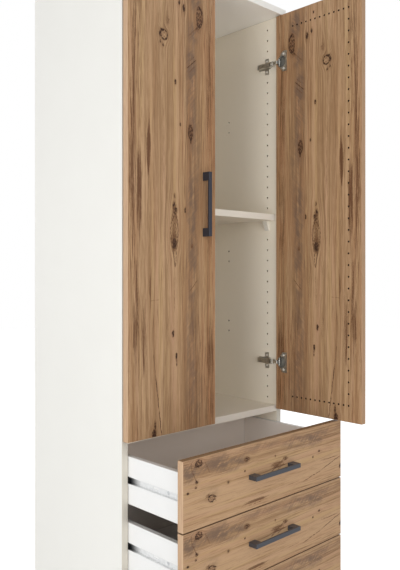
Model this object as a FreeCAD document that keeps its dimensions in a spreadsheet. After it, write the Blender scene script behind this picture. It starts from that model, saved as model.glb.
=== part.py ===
"""Chifforobe: a two-door wardrobe cupboard over three drawers, as a parametric FreeCAD document.

Millimetres. +Z is up, the fronts face -Y, and the origin lies on the floor under the middle of
the carcass. The left door is shut, the right door stands open and the drawers are pulled out.
"""
import FreeCAD, Part
import os
import re
import Sketcher

Vector = FreeCAD.Vector

DRAWERS = 3
# Holes of the front column that have a pair in the middle column, and the short rear column
RAIL_BRACKET_ROWS = (6, 13, 26)
REAR_HOLE_STEPS = range(-2, 3)
# Flat sides of the many small holes and hidden pins, and of larger round fittings
HOLE_SIDES = 6
FITTING_SIDES = 12
# Slack when an edge is told by the place of its middle
NEAR = 0.01

SIZES = {
    # Carcass boards
    "cabinet_width": 600,
    "carcass_depth": 410,
    "cabinet_height": 1760,
    "panel_thickness": 18,
    "panel_bevel": 0.6,
    "plinth_height": 65,
    "plinth_setback": 40,
    "plinth_thickness": 16,
    "back_thickness": 3,
    "back_inset": 12,
    "back_groove_depth": 8,
    "groove_play": 0.2,
    "divider_drop": 8,
    "glide_height": 5,
    "glide_radius": 8,
    "glide_setback": 45,
    "support_foot_radius": 20,
    # Doors and drawer fronts
    "front_thickness": 18,
    "front_gap": 2.5,
    "front_side_reveal": 1,
    "front_bottom_reveal": 13,
    "front_top_reveal": 3,
    "front_bevel": 1,
    "door_meeting_gap": 3,
    "door_drawer_gap": 4,
    "drawer_front_height": 158,
    "drawer_front_gap": 2.5,
    "left_door_angle": 0,
    "right_door_angle": 90,
    "drawer_pull": 196.5,
    # Hole rows in the side panels
    "pin_hole_radius": 2.5,
    "pin_hole_depth": 12,
    "pin_hole_pitch": 32,
    "pin_hole_setback": 37,
    "first_pin_hole_rise": 19.5,
    "pin_hole_top_margin": 25,
    "rail_hole_setback": 200,
    "rear_hole_inset": 80,
    # Pilot holes on the inner face of each door
    "pilot_hole_radius": 2,
    "pilot_hole_depth": 11,
    "pilot_hole_edge": 42,
    "pilot_hole_margin": 40,
    "pilot_row_pitch": 16,
    "pilot_row_count": 13,
    # Adjustable shelf and its supports
    "shelf_hole": 16,
    "shelf_setback": 6,
    "shelf_side_play": 1,
    "shelf_back_play": 4,
    "support_rise": 25,
    "support_drop": 5,
    "support_ledge": 14,
    "support_sheet": 3,
    "support_width": 16,
    "support_pin_play": 0.1,
    "support_pin_length": 9,
    # Knock-down fittings
    "cam_radius": 7.5,
    "cam_depth": 12.5,
    "cam_reach": 34,
    "cam_setback": 60,
    "bolt_radius": 3,
    "bolt_insert": 10,
    "fitting_play": 0.2,
    "dowel_radius": 4,
    "dowel_low": 20,
    "dowel_high": 11,
    "dowel_setback": 50,
    # Concealed hinges
    "hinge_hole": 3,
    "plate_front": 23,
    "plate_length": 44,
    "plate_height": 18,
    "plate_thickness": 4,
    "wing_height": 48,
    "wing_width": 14,
    "wing_thickness": 2,
    "arm_width": 14,
    "arm_rise": 15,
    "arm_sheet": 1.2,
    "arm_hole_radius": 2.2,
    "arm_hole_setback": 45,
    "arm_back": 64,
    "arm_mouth": 18,
    "arm_nose": 4,
    "arm_pivot_rise": 11,
    "arm_pivot_setback": 9,
    "hinge_pin_radius": 1.4,
    "hinge_pin_play": 0.1,
    "link_thickness": 2.5,
    "link_width": 9,
    "link_eye_radius": 2.7,
    "link_knee_reach": 9.5,
    "link_knee_drop": 3.5,
    "link_ratio": 0.38,
    "cup_pivot_edge": 10,
    "cup_pivot_depth": 4,
    "cup_edge": 22.5,
    "cup_radius": 17.4,
    "cup_depth": 11.5,
    "cup_wall": 1,
    "cup_bore_play": 0.1,
    "flange_edge": 17.5,
    "flange_width": 24.5,
    "flange_shoulder": 9,
    "flange_height": 60,
    "flange_nose": 38,
    "flange_thickness": 1.8,
    # Bow handles
    "handle_length": 170,
    "handle_width": 11,
    "handle_projection": 25,
    "handle_bar": 5.5,
    "handle_foot": 22,
    "handle_bevel": 0.6,
    # Drawer boxes
    "drawer_side_play": 2,
    "drawer_side_thickness": 12,
    "drawer_side_height": 116,
    "drawer_side_drop": 34.5,
    "drawer_box_length": 330,
    "drawer_back_thickness": 12,
    "drawer_bottom_thickness": 3,
    "drawer_bottom_rise": 10,
    "drawer_bottom_groove": 5,
    # Ball runners
    "runner_height": 17,
    "runner_depth": 8.4,
    "runner_sheet": 1,
    "runner_groove_play": 0.2,
    "runner_length": 320,
    "runner_hole_radius": 4.5,
    "runner_hole_setback": 60,
    "runner_slot_setback": 95,
    "runner_slot_length": 18,
    "runner_slot_height": 5,
    "rail_height": 9.6,
    "rail_depth": 8,
    "rail_front": 10,
    "rail_length": 310,
    "rail_cap_front": 2,
    "rail_cap_bevel": 1,
    "rail_cap_play": 0.4,
    "cage_length": 60,
    "cage_sheet": 0.6,
    "cage_height": 12.9,
    "cage_depth": 6,
    "cage_web_play": 0.4,
}

# Levels and planes that several pieces share, written with the names above
HALF = "(cabinet_width / 2)"
INNER = "(cabinet_width / 2 - panel_thickness)"
FRONT = "(-carcass_depth / 2)"
REAR = "(carcass_depth / 2)"
SIDE_TOP = "(cabinet_height - panel_thickness)"
SIDE_MIDDLE = "(cabinet_width / 2 - panel_thickness / 2)"
BACK_FACE = f"({REAR} - back_inset - back_thickness)"
FRONT_BACK = f"({FRONT} - front_gap)"
FRONT_STEP = "(drawer_front_height + drawer_front_gap)"
DOOR_BOTTOM = (f"(plinth_height + front_bottom_reveal + {DRAWERS} * {FRONT_STEP}"
               " - drawer_front_gap + door_drawer_gap)")
DOOR_TOP = f"({SIDE_TOP} - front_top_reveal)"
DOOR_HEIGHT = f"({DOOR_TOP} - {DOOR_BOTTOM})"
DOOR_WIDTH = f"({HALF} - front_side_reveal - door_meeting_gap / 2)"
DIVIDER_LOW = f"({DOOR_BOTTOM} - divider_drop)"
DIVIDER_TOP = f"({DIVIDER_LOW} + panel_thickness)"

# Hole rows
FIRST_HOLE = f"({DIVIDER_TOP} + first_pin_hole_rise)"
HOLE_COUNT = f"(floor(({SIDE_TOP} - pin_hole_top_margin - {FIRST_HOLE}) / pin_hole_pitch) + 1)"
PILOT_COUNT = f"(floor(({DOOR_HEIGHT} - 2 * pilot_hole_margin) / pin_hole_pitch) + 1)"
PILOT_LOW = f"(({DOOR_BOTTOM} + {DOOR_TOP} - ({PILOT_COUNT} - 1) * pin_hole_pitch) / 2)"
PILOT_HIGH = f"({PILOT_LOW} + ({PILOT_COUNT} - 1) * pin_hole_pitch)"
SHELF_PIN = f"({FIRST_HOLE} + shelf_hole * pin_hole_pitch)"
SHELF_LOW = f"({SHELF_PIN} + support_rise)"
HINGE_LEVELS = (
    f"({FIRST_HOLE} + (hinge_hole + 0.5) * pin_hole_pitch)",
    f"({FIRST_HOLE} + ({HOLE_COUNT} - hinge_hole - 1.5) * pin_hole_pitch)",
)
BOLT_LENGTH = "(bolt_insert + cam_reach - cam_radius - fitting_play)"
CAM_ROWS = (f"({FRONT} + cam_setback)", f"({BACK_FACE} - cam_setback)")
DOWEL_ROWS = (f"({FRONT} + dowel_setback)", "0", f"({BACK_FACE} - dowel_setback)")

# Hinge geometry: arm pivot in the carcass, then the shut link from there to the pivot in the cup
ARM_X = f"({INNER} - arm_pivot_rise)"
ARM_Y = f"({FRONT} + arm_pivot_setback)"
LINK_X = "(panel_thickness + arm_pivot_rise - front_side_reveal - cup_pivot_edge)"
LINK_Y = "(-front_gap - cup_pivot_depth - arm_pivot_setback)"

# Drawer boxes and runners
SIDE_OUTER = f"({INNER} - drawer_side_play)"
SIDE_INNER = f"({SIDE_OUTER} - drawer_side_thickness)"
BOX_REAR = f"({FRONT_BACK} + drawer_box_length)"
RUNNER_WEB = f"({SIDE_OUTER} - runner_depth)"

doc = FreeCAD.newDocument("chifforobe")
sheet = doc.addObject("Spreadsheet::Sheet", "Sizes")
for row, (size_name, size_value) in enumerate(SIZES.items(), 1):
    sheet.set(f"A{row}", size_name)
    sheet.set(f"B{row}", str(size_value))
    sheet.setAlias(f"B{row}", size_name)
doc.recompute()

nodes = {}


# Expressions and sketches

def bound(text):
    """Turn the names of sizes in an expression into references to the sheet."""
    return re.sub(r"[a-z_]+", lambda word: "Sizes." + word.group() if word.group() in SIZES
                  else word.group(), text)


def number(text):
    """The present value of an expression, for the first position of sketch geometry."""
    return float(sheet.evalExpression(bound(text)))


def bind(item, **expressions):
    """Bind properties, with double underscores for dots, to expressions in the sheet's names."""
    for path, text in expressions.items():
        item.setExpression(path.replace("__", "."), bound(text))


def keep(label, item):
    """Register a finished sub-part under the name of its file."""
    item.Label = label
    nodes[label] = item
    return item


def new_body(name):
    return doc.addObject("PartDesign::Body", name)


def origin_feature(body, role):
    return next(item for item in body.Origin.OriginFeatures if item.Role == role)


def new_sketch(body, role, level):
    """A sketch on an origin plane moved to a level on X, Y or Z; the XZ plane faces -Y."""
    sketch = body.newObject("Sketcher::SketchObject", "sketch")
    sketch.AttachmentSupport = [(origin_feature(body, role), "")]
    sketch.MapMode = "FlatFace"
    bind(sketch, AttachmentOffset__Base__z=f"-({level})" if role == "XZ_Plane" else level)
    return sketch


def fix(sketch, kind, geometry, point, text):
    place = Sketcher.Constraint(kind, geometry, point, number(text))
    sketch.setExpression(f"Constraints[{sketch.addConstraint(place)}]", bound(text))


def draw_polygon(sketch, corners):
    """A closed outline whose corners are pairs of expressions."""
    first = sketch.GeometryCount
    places = [Vector(number(across), number(along), 0) for across, along in corners]
    for start, end in zip(places, places[1:] + places[:1]):
        sketch.addGeometry(Part.LineSegment(start, end), False)
    for index in range(len(corners)):
        follower = (index + 1) % len(corners)
        sketch.addConstraint(Sketcher.Constraint("Coincident", first + index, 2, first + follower, 1))
    for index, (across, along) in enumerate(corners):
        fix(sketch, "DistanceX", first + index, 1, across)
        fix(sketch, "DistanceY", first + index, 1, along)
    return sketch


def draw_rectangle(sketch, left, low, right, high):
    return draw_polygon(sketch, [(left, low), (right, low), (right, high), (left, high)])


def draw_circles(sketch, radius, centres):
    for across, along in centres:
        index = sketch.GeometryCount
        middle = Vector(number(across), number(along), 0)
        sketch.addGeometry(Part.Circle(middle, Vector(0, 0, 1), number(radius)), False)
        fix(sketch, "DistanceX", index, 3, across)
        fix(sketch, "DistanceY", index, 3, along)
        circle = Sketcher.Constraint("Radius", index, number(radius))
        sketch.setExpression(f"Constraints[{sketch.addConstraint(circle)}]", bound(radius))
    return sketch


def draw_flat_sided(sketch, radius, centres, sides=HOLE_SIDES):
    """Holes or pins with flat sides, each flat at the radius from the centre."""
    for across, along in centres:
        turns = [f"{360 / sides} * {step}" for step in range(sides)]
        reach = f"({radius}) / cos({180 / sides})"
        draw_polygon(sketch, [(f"{across} + {reach} * cos({turn})", f"{along} + {reach} * sin({turn})")
                              for turn in turns])
    return sketch


# Features

def add_feature(body, kind, sketch, length, backwards=False, both_sides=False):
    feature = body.newObject(f"PartDesign::{kind}", kind.lower())
    feature.Profile = sketch
    feature.Reversed = backwards
    if both_sides:
        feature.SideType = "Symmetric"
    bind(feature, Length=length)
    return feature


def pad(body, sketch, length, **direction):
    return add_feature(body, "Pad", sketch, length, **direction)


def pocket(body, sketch, length, **direction):
    return add_feature(body, "Pocket", sketch, length, **direction)


def repeat(body, feature, axis, pitch, count, backwards=False):
    """A row of copies of one feature along an axis of the body."""
    pattern = body.newObject("PartDesign::LinearPattern", "row")
    pattern.Originals = [feature]
    pattern.Direction = (origin_feature(body, axis), [""])
    pattern.Reversed = backwards
    bind(pattern, Length=f"({pitch}) * ({count} - 1)", Occurrences=count)
    body.Tip = pattern
    return pattern


def bevel_edges(body, base, size, wanted):
    """Chamfer the edges of a feature whose middle point passes a test."""
    base.recompute(True)
    edges = [f"Edge{index}" for index, edge in enumerate(base.Shape.Edges, 1)
             if wanted(edge.CenterOfMass)]
    bevel = body.newObject("PartDesign::Chamfer", "bevel")
    bevel.Base = (base, edges)
    bind(bevel, Size=size)
    return bevel


def every_edge(middle):
    return True


def cylinder(name, radius, length, centre):
    rod = doc.addObject("Part::Cylinder", name)
    bind(rod, Radius=radius, Height=length)
    bind(rod, Placement__Base__x=centre[0], Placement__Base__y=centre[1], Placement__Base__z=centre[2])
    return rod


def prism(name, radius, length, centre):
    """A round fitting with a few flat sides, inside the radius."""
    rod = doc.addObject("Part::Prism", name)
    rod.Polygon = FITTING_SIDES
    bind(rod, Circumradius=radius, Height=length)
    bind(rod, Placement__Base__x=centre[0], Placement__Base__y=centre[1], Placement__Base__z=centre[2])
    return rod


def flat_sided_rod(name, radius, length, role, level, centre, **direction):
    """A hidden pin with flat sides, from a level on one axis."""
    body = new_body(name)
    flat = f"({radius}) * cos({180 / HOLE_SIDES})"
    pad(body, draw_flat_sided(new_sketch(body, role, level), flat, [centre]), length, **direction)
    return body


def together(name, pieces):
    """Several solids that are one node."""
    group = doc.addObject("Part::Compound", name)
    group.Links = pieces
    return group


def boolean(kind, name, base, tool):
    made = doc.addObject(f"Part::{kind}", name)
    made.Base = base
    made.Tool = tool
    return made


# Places of what moves

def place_turned(item, across, along, angle):
    item.Placement = FreeCAD.Placement(Vector(), FreeCAD.Rotation(Vector(0, 0, 1), 1))
    bind(item, Placement__Base__x=across, Placement__Base__y=along, Placement__Rotation__Angle=angle)
    return item


def place_link(item, side, angle):
    """Turn a link about its arm pivot; it turns against the door."""
    return place_turned(item, f"{side} * {ARM_X}", ARM_Y, f"-({side}) * link_ratio * {angle}")


def place_on_door(item, side, angle):
    """Carry a piece, drawn about the pivot in the cup, to where the link holds the door."""
    turn = f"(link_ratio * {angle})"
    across = f"{side} * ({ARM_X} + {LINK_X} * cos({turn}) + {LINK_Y} * sin({turn}))"
    along = f"{ARM_Y} - {LINK_X} * sin({turn}) + {LINK_Y} * cos({turn})"
    return place_turned(item, across, along, f"{side} * {angle}")


def place_pulled(item, share="1"):
    bind(item, Placement__Base__y=f"-drawer_pull * {share}")
    return item


# Carcass

def side_panel(label, side):
    """Side panel with its groove for the back and its rows of holes on the inner face."""
    body = new_body(label)
    face = f"{side} * {INNER}"
    into = {"backwards": side > 0}
    outline = draw_rectangle(new_sketch(body, "YZ_Plane", face), FRONT, "glide_height", REAR, SIDE_TOP)
    slab = pad(body, outline, "panel_thickness", backwards=side < 0)
    bevel_edges(body, slab, "panel_bevel", every_edge)

    groove = draw_rectangle(new_sketch(body, "YZ_Plane", face), f"{BACK_FACE} - groove_play",
                            "plinth_height", f"{REAR} - back_inset + groove_play",
                            f"{SIDE_TOP} + panel_bevel")
    pocket(body, groove, "back_groove_depth", **into)

    def holes(radius, centres):
        return draw_flat_sided(new_sketch(body, "YZ_Plane", face), radius, centres)

    column = holes("pin_hole_radius", [(f"{FRONT} + pin_hole_setback", FIRST_HOLE)])
    first = pocket(body, column, "pin_hole_depth", **into)
    repeat(body, first, "Z_Axis", "pin_hole_pitch", HOLE_COUNT)
    brackets = [(f"{FRONT} + rail_hole_setback", f"{FIRST_HOLE} + {step} * pin_hole_pitch")
                for low in RAIL_BRACKET_ROWS for step in (low, low + 1)]
    pocket(body, holes("pin_hole_radius", brackets), "pin_hole_depth", **into)
    rear = [(f"{REAR} - rear_hole_inset", f"{SHELF_PIN} + {step} * pin_hole_pitch")
            for step in REAR_HOLE_STEPS]
    pocket(body, holes("pin_hole_radius", rear), "pin_hole_depth", **into)

    bolts = [(along, f"{low} + panel_thickness / 2") for along in CAM_ROWS
             for low in ("plinth_height", DIVIDER_LOW)]
    pocket(body, holes("bolt_radius + fitting_play", bolts), "bolt_insert + fitting_play", **into)
    dowels = draw_flat_sided(new_sketch(body, "XY_Plane", SIDE_TOP), "dowel_radius + fitting_play",
                             [(f"{side} * {SIDE_MIDDLE}", along) for along in DOWEL_ROWS])
    pocket(body, dowels, "dowel_low")
    return keep(label, body)


def top_board():
    """Top board over the side panels, reaching forward to the faces of the doors."""
    body = new_body("top_board")
    outline = draw_rectangle(new_sketch(body, "XY_Plane", SIDE_TOP), f"-{HALF}",
                             f"{FRONT_BACK} - front_thickness", HALF, REAR)
    slab = pad(body, outline, "panel_thickness")
    bevel_edges(body, slab, "panel_bevel", every_edge)
    dowels = draw_flat_sided(new_sketch(body, "XY_Plane", SIDE_TOP), "dowel_radius + fitting_play",
                             [(f"{side} * {SIDE_MIDDLE}", along) for side in (-1, 1) for along in DOWEL_ROWS])
    pocket(body, dowels, "dowel_high", backwards=True)
    return keep("top_board", body)


def fixed_board(label, low):
    """Board between the side panels, bored from below for cams and from its ends for their bolts."""
    body = new_body(label)
    outline = draw_rectangle(new_sketch(body, "XY_Plane", low), f"-{INNER}", FRONT, INNER, BACK_FACE)
    pad(body, outline, "panel_thickness")
    cams = [(f"{side} * ({INNER} - cam_reach)", along) for side in (-1, 1) for along in CAM_ROWS]
    bores = draw_flat_sided(new_sketch(body, "XY_Plane", low), "cam_radius + fitting_play", cams,
                            FITTING_SIDES)
    pocket(body, bores, "cam_depth + fitting_play", backwards=True)
    bolts = [(along, f"{low} + panel_thickness / 2") for along in CAM_ROWS]
    for side in (-1, 1):
        ends = draw_flat_sided(new_sketch(body, "YZ_Plane", f"{side} * {INNER}"),
                               "bolt_radius + fitting_play", bolts)
        pocket(body, ends, "cam_reach", backwards=side < 0)
    return keep(label, body)


def plain_board(label, across, along, up):
    """A plain board, given as pairs of low and high faces on X, Y and Z."""
    board = doc.addObject("Part::Box", label)
    bind(board, Length=f"{across[1]} - {across[0]}", Width=f"{along[1]} - {along[0]}",
         Height=f"{up[1]} - {up[0]}")
    bind(board, Placement__Base__x=across[0], Placement__Base__y=along[0], Placement__Base__z=up[0])
    return keep(label, board)


def carcass_boards():
    side_panel("left_side_panel", -1)
    side_panel("right_side_panel", 1)
    top_board()
    fixed_board("bottom_board", "plinth_height")
    fixed_board("divider_board", DIVIDER_LOW)
    back_edge = f"({INNER} + back_groove_depth - groove_play)"
    plain_board("back_panel", (f"-{back_edge}", back_edge), (BACK_FACE, f"({REAR} - back_inset)"),
                ("plinth_height", SIDE_TOP))
    plinth_face = f"({FRONT} + plinth_setback)"
    plain_board("plinth_board", (f"-{INNER}", INNER), (plinth_face, f"({plinth_face} + plinth_thickness)"),
                ("glide_height", "plinth_height"))
    shelf_end = f"({INNER} - shelf_side_play)"
    plain_board("adjustable_shelf", (f"-{shelf_end}", shelf_end),
                (f"({FRONT} + shelf_setback)", f"({BACK_FACE} - shelf_back_play)"),
                (SHELF_LOW, f"({SHELF_LOW} + panel_thickness)"))


def shelf_support(name, side, along):
    """Gusset that hangs by its pin in one hole and carries the shelf on its ledge."""
    body = new_body(name)
    wall = f"{side} * {INNER}"
    foot = f"{SHELF_PIN} - support_drop"
    profile = draw_polygon(new_sketch(body, "XZ_Plane", along), [
        (wall, foot),
        (wall, SHELF_LOW),
        (f"{side} * ({INNER} - support_ledge)", SHELF_LOW),
        (f"{side} * ({INNER} - support_ledge)", f"{SHELF_LOW} - support_sheet"),
        (f"{side} * ({INNER} - support_sheet)", foot),
    ])
    pad(body, profile, "support_width", both_sides=True)
    pin = draw_flat_sided(new_sketch(body, "YZ_Plane", wall), "pin_hole_radius - support_pin_play",
                          [(along, SHELF_PIN)])
    pad(body, pin, "support_pin_length", backwards=side < 0)
    return body


def small_fittings():
    supports = [shelf_support("support", side, along) for side in (-1, 1)
                for along in (f"({FRONT} + pin_hole_setback)", f"({REAR} - rear_hole_inset)")]
    keep("shelf_supports", together("shelf_supports", supports))

    glides = [prism("glide", "glide_radius", "glide_height", (f"{side} * {SIDE_MIDDLE}", along, "0"))
              for side in (-1, 1) for along in (f"{FRONT} + glide_setback", f"{REAR} - glide_setback")]
    foot = prism("support_foot", "support_foot_radius", "plinth_height", ("0", "0", "0"))
    keep("floor_glides", together("floor_glides", [*glides, foot]))

    dowels = [flat_sided_rod("dowel", "dowel_radius", "dowel_low + dowel_high - fitting_play", "XY_Plane",
                             f"{SIDE_TOP} - dowel_low", (f"{side} * {SIDE_MIDDLE}", along))
              for side in (-1, 1) for along in DOWEL_ROWS]
    keep("top_dowels", together("top_dowels", dowels))

    cams = []
    bolts = []
    for low in ("plinth_height", DIVIDER_LOW):
        for side in (-1, 1):
            for along in CAM_ROWS:
                cams.append(prism("cam", "cam_radius", "cam_depth",
                                  (f"{side} * ({INNER} - cam_reach)", along, low)))
                bolts.append(flat_sided_rod("bolt", "bolt_radius", BOLT_LENGTH, "YZ_Plane",
                                            f"{side} * ({INNER} + bolt_insert)",
                                            (along, f"{low} + panel_thickness / 2"), backwards=side > 0))
    keep("cam_locks", together("cam_locks", cams))
    keep("cam_bolts", together("cam_bolts", bolts))


# Concealed hinges

def hinge_plate(name, side, level):
    """Cross-shaped mounting plate on the side panel, over two neighbouring holes."""
    body = new_body(name)
    wall = f"{side} * {INNER}"
    row = f"{FRONT} + pin_hole_setback"
    wing = draw_rectangle(new_sketch(body, "YZ_Plane", wall),
                          f"{row} - wing_width / 2", f"{level} - wing_height / 2",
                          f"{row} + wing_width / 2", f"{level} + wing_height / 2")
    pad(body, wing, "wing_thickness", backwards=side > 0)
    base = draw_rectangle(new_sketch(body, "YZ_Plane", wall),
                          f"{FRONT} + plate_front", f"{level} - plate_height / 2",
                          f"{FRONT} + plate_front + plate_length", f"{level} + plate_height / 2")
    pad(body, base, "plate_thickness", backwards=side > 0)
    return body


def hinge_arm(name, side, level):
    """Folded channel that stands on the plate and holds the first pivot between its cheeks."""
    body = new_body(name)

    def at(rise, setback):
        return f"{side} * ({INNER} - ({rise}))", f"{FRONT} + {setback}"

    cheeks = draw_polygon(new_sketch(body, "XY_Plane", level), [
        at("plate_thickness", "arm_back"),
        at("arm_rise", "arm_back"),
        at("arm_rise", "arm_pivot_setback + arm_nose / 2"),
        at("arm_pivot_rise + arm_nose / 2", "arm_pivot_setback - arm_nose"),
        at("arm_pivot_rise - arm_nose / 2", "arm_pivot_setback - arm_nose"),
        at("plate_thickness", "plate_front"),
    ])
    pad(body, cheeks, "arm_width", both_sides=True)
    channel = draw_polygon(new_sketch(body, "XY_Plane", level), [
        at("0", "arm_back + arm_width"),
        at("arm_rise - arm_sheet", "arm_back + arm_width"),
        at("arm_rise - arm_sheet", "arm_mouth"),
        at("arm_rise + arm_sheet", "arm_mouth"),
        at("arm_rise + arm_sheet", "0"),
        at("0", "0"),
    ])
    pocket(body, channel, "arm_width - 2 * arm_sheet", both_sides=True)
    top = new_sketch(body, "YZ_Plane", f"{side} * ({INNER} - arm_rise)")
    pocket(body, draw_flat_sided(top, "arm_hole_radius", [(f"{FRONT} + arm_hole_setback", level)]),
           "2 * arm_sheet", backwards=side > 0)
    pin = draw_circles(new_sketch(body, "XY_Plane", level), "hinge_pin_radius",
                       [at("arm_pivot_rise", "arm_pivot_setback")])
    pad(body, pin, "arm_width", both_sides=True)
    return body


def hinge_link(name, side, level):
    """Kneed link, drawn shut about the arm pivot; the knee lets it pass round the door's rim."""
    end = (f"{side} * {LINK_X}", LINK_Y)
    knee = (f"{side} * ({LINK_X} - link_knee_reach)", f"{LINK_Y} - link_knee_drop")
    path = doc.addObject("Sketcher::SketchObject", "link_path")
    corners = [("0", "0"), knee, end]
    places = [Vector(number(across), number(along), 0) for across, along in corners]
    for start, stop in zip(places, places[1:]):
        path.addGeometry(Part.LineSegment(start, stop), False)
    path.addConstraint(Sketcher.Constraint("Coincident", 0, 2, 1, 1))
    for index, point, (across, along) in ((0, 1, corners[0]), (1, 1, knee), (1, 2, end)):
        fix(path, "DistanceX", index, point, across)
        fix(path, "DistanceY", index, point, along)
    strap = doc.addObject("Part::Offset2D", "link_outline")
    strap.Source = path
    strap.Mode = "Pipe"
    strap.Fill = True
    bind(strap, Value="link_thickness / 2")
    band = doc.addObject("Part::Extrusion", "link_band")
    band.Base = strap
    band.DirMode = "Custom"
    band.Dir = Vector(0, 0, 1)
    band.Solid = True
    low = f"{level} - link_width / 2"
    bind(band, LengthFwd="link_width", Placement__Base__z=low)
    whole = band
    for centre in (corners[0], end):
        eye = prism("link_eye", "link_eye_radius", "link_width", (*centre, low))
        whole = boolean("Fuse", "link_with_eye", whole, eye)
    for centre in (corners[0], end):
        hole = cylinder("link_bore", "hinge_pin_radius + hinge_pin_play", "link_width", (*centre, low))
        whole = boolean("Cut", "link_with_bore", whole, hole)
    return whole


def hinge_cup(name, side, level):
    """Cup in the door with its screw flange and the second pivot across its mouth."""
    body = new_body(name)

    def from_edge(distance):
        return f"{side} * (cup_pivot_edge - ({distance}))"

    face = "cup_pivot_depth"
    rim = [(from_edge("cup_edge"), level)]
    pad(body, draw_circles(new_sketch(body, "XZ_Plane", face), "cup_radius", rim), "cup_depth")
    half = [("flange_edge + flange_width", "flange_height / 2"),
            ("flange_edge + flange_shoulder", "flange_height / 2"),
            ("flange_edge", "flange_nose / 2")]
    upper = [(from_edge(distance), f"{level} + {rise}") for distance, rise in half]
    lower = [(from_edge(distance), f"{level} - {rise}") for distance, rise in reversed(half)]
    pad(body, draw_polygon(new_sketch(body, "XZ_Plane", face), upper + lower), "flange_thickness", backwards=True)
    mouth = new_sketch(body, "XZ_Plane", f"{face} + flange_thickness")
    pocket(body, draw_circles(mouth, "cup_radius - cup_wall", rim),
           "cup_depth + flange_thickness - cup_wall", backwards=True)
    far = "(cup_edge - cup_pivot_edge + hinge_pin_radius)"
    span = f"2 * sqrt(cup_radius ^ 2 - {far} ^ 2) - cup_wall / 2"
    pin = draw_circles(new_sketch(body, "XY_Plane", level), "hinge_pin_radius", [("0", "0")])
    pad(body, pin, span, both_sides=True)
    return body


def hinges(word, side, angle):
    """Both hinges of one door, each piece as one node."""
    def pair(make):
        return [make("hinge", side, level) for level in HINGE_LEVELS]

    keep(f"{word}_hinge_plates", together(f"{word}_hinge_plates", pair(hinge_plate)))
    keep(f"{word}_hinge_arms", together(f"{word}_hinge_arms", pair(hinge_arm)))
    links = keep(f"{word}_hinge_links", together(f"{word}_hinge_links", pair(hinge_link)))
    place_link(links, side, angle)
    cups = keep(f"{word}_hinge_cups", together(f"{word}_hinge_cups", pair(hinge_cup)))
    place_on_door(cups, side, angle)


# Doors

def door(word, side, angle):
    """Door drawn about the pivot in its cup, with cup bores and pilot holes, and its handle."""
    label = f"{word}_door"
    body = new_body(label)
    face = "cup_pivot_depth"
    hinge_edge = f"{side} * cup_pivot_edge"
    free_edge = f"{side} * (cup_pivot_edge - {DOOR_WIDTH})"
    outline = draw_rectangle(new_sketch(body, "XZ_Plane", face), free_edge, DOOR_BOTTOM,
                             hinge_edge, DOOR_TOP)
    slab = pad(body, outline, "front_thickness")
    bevel_edges(body, slab, "front_bevel", every_edge)

    cup = f"{side} * (cup_pivot_edge - cup_edge)"
    cups = draw_circles(new_sketch(body, "XZ_Plane", face), "cup_radius + cup_bore_play",
                        [(cup, level) for level in HINGE_LEVELS])
    pocket(body, cups, "cup_depth + cup_bore_play", backwards=True)

    row = f"{side} * (cup_pivot_edge - {DOOR_WIDTH} + pilot_hole_edge)"
    inner = f"{side} * (cup_pivot_edge - {DOOR_WIDTH} + pilot_hole_edge + pilot_row_pitch)"

    def pilot_hole(across, level):
        hole = draw_flat_sided(new_sketch(body, "XZ_Plane", face), "pilot_hole_radius", [(across, level)])
        return pocket(body, hole, "pilot_hole_depth", backwards=True)

    repeat(body, pilot_hole(row, PILOT_LOW), "Z_Axis", "pin_hole_pitch", PILOT_COUNT)
    for level in (PILOT_LOW, PILOT_HIGH):
        repeat(body, pilot_hole(inner, level), "X_Axis", "pilot_row_pitch", "(pilot_row_count - 1)",
               backwards=side < 0)

    middle = f"({DOOR_BOTTOM} + {DOOR_TOP}) / 2"
    place_on_door(keep(label, body), side, angle)

    grip = bow_handle(f"{label}_handle", "cup_pivot_depth - front_thickness", row, middle, upright=True)
    place_on_door(keep(f"{label}_handle", grip), side, angle)


def bow_handle(name, face, across, up, upright):
    """Square bow handle in front of a face, standing upright or lying along X."""
    body = new_body(name)
    tip = f"{face} - handle_projection"
    inside = f"{tip} + handle_bar"
    half = "handle_length / 2"
    gap = "(handle_length / 2 - handle_foot)"
    run = [(face, f"-{half}"), (tip, f"-{half}"), (tip, half), (face, half),
           (face, gap), (inside, gap), (inside, f"-{gap}"), (face, f"-{gap}")]
    if upright:
        sketch = new_sketch(body, "YZ_Plane", across)
        corners = [(out, f"{up} + {along}") for out, along in run]
    else:
        sketch = new_sketch(body, "XY_Plane", up)
        corners = [(f"{across} + {along}", out) for out, along in run]
    bow = pad(body, draw_polygon(sketch, corners), "handle_width", both_sides=True)
    base = number(face) - NEAR
    bevel_edges(body, bow, "handle_bevel", lambda point: point.y < base)
    return body


# Drawers and runners

def mirrored(points, side):
    return [(f"{side} * ({across})", up) for across, up in points]


def drawer_side(label, side, low, level):
    """Drawer side with the outer groove for its runner and the inner groove for the bottom."""
    body = new_body(label)
    top = f"{low} + drawer_side_height"
    slot = "(runner_height / 2 + runner_groove_play)"
    ledge = f"{low} + drawer_bottom_rise"
    roof = f"{ledge} + drawer_bottom_thickness + groove_play"
    profile = draw_polygon(new_sketch(body, "XZ_Plane", BOX_REAR), mirrored([
        (SIDE_OUTER, low),
        (SIDE_OUTER, f"{level} - {slot}"),
        (RUNNER_WEB, f"{level} - {slot}"),
        (RUNNER_WEB, f"{level} + {slot}"),
        (SIDE_OUTER, f"{level} + {slot}"),
        (SIDE_OUTER, top),
        (SIDE_INNER, top),
        (SIDE_INNER, roof),
        (f"{SIDE_INNER} + drawer_bottom_groove", roof),
        (f"{SIDE_INNER} + drawer_bottom_groove", ledge),
        (SIDE_INNER, ledge),
        (SIDE_INNER, low),
    ], side))
    pad(body, profile, "drawer_box_length")
    return place_pulled(keep(label, body))


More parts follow.
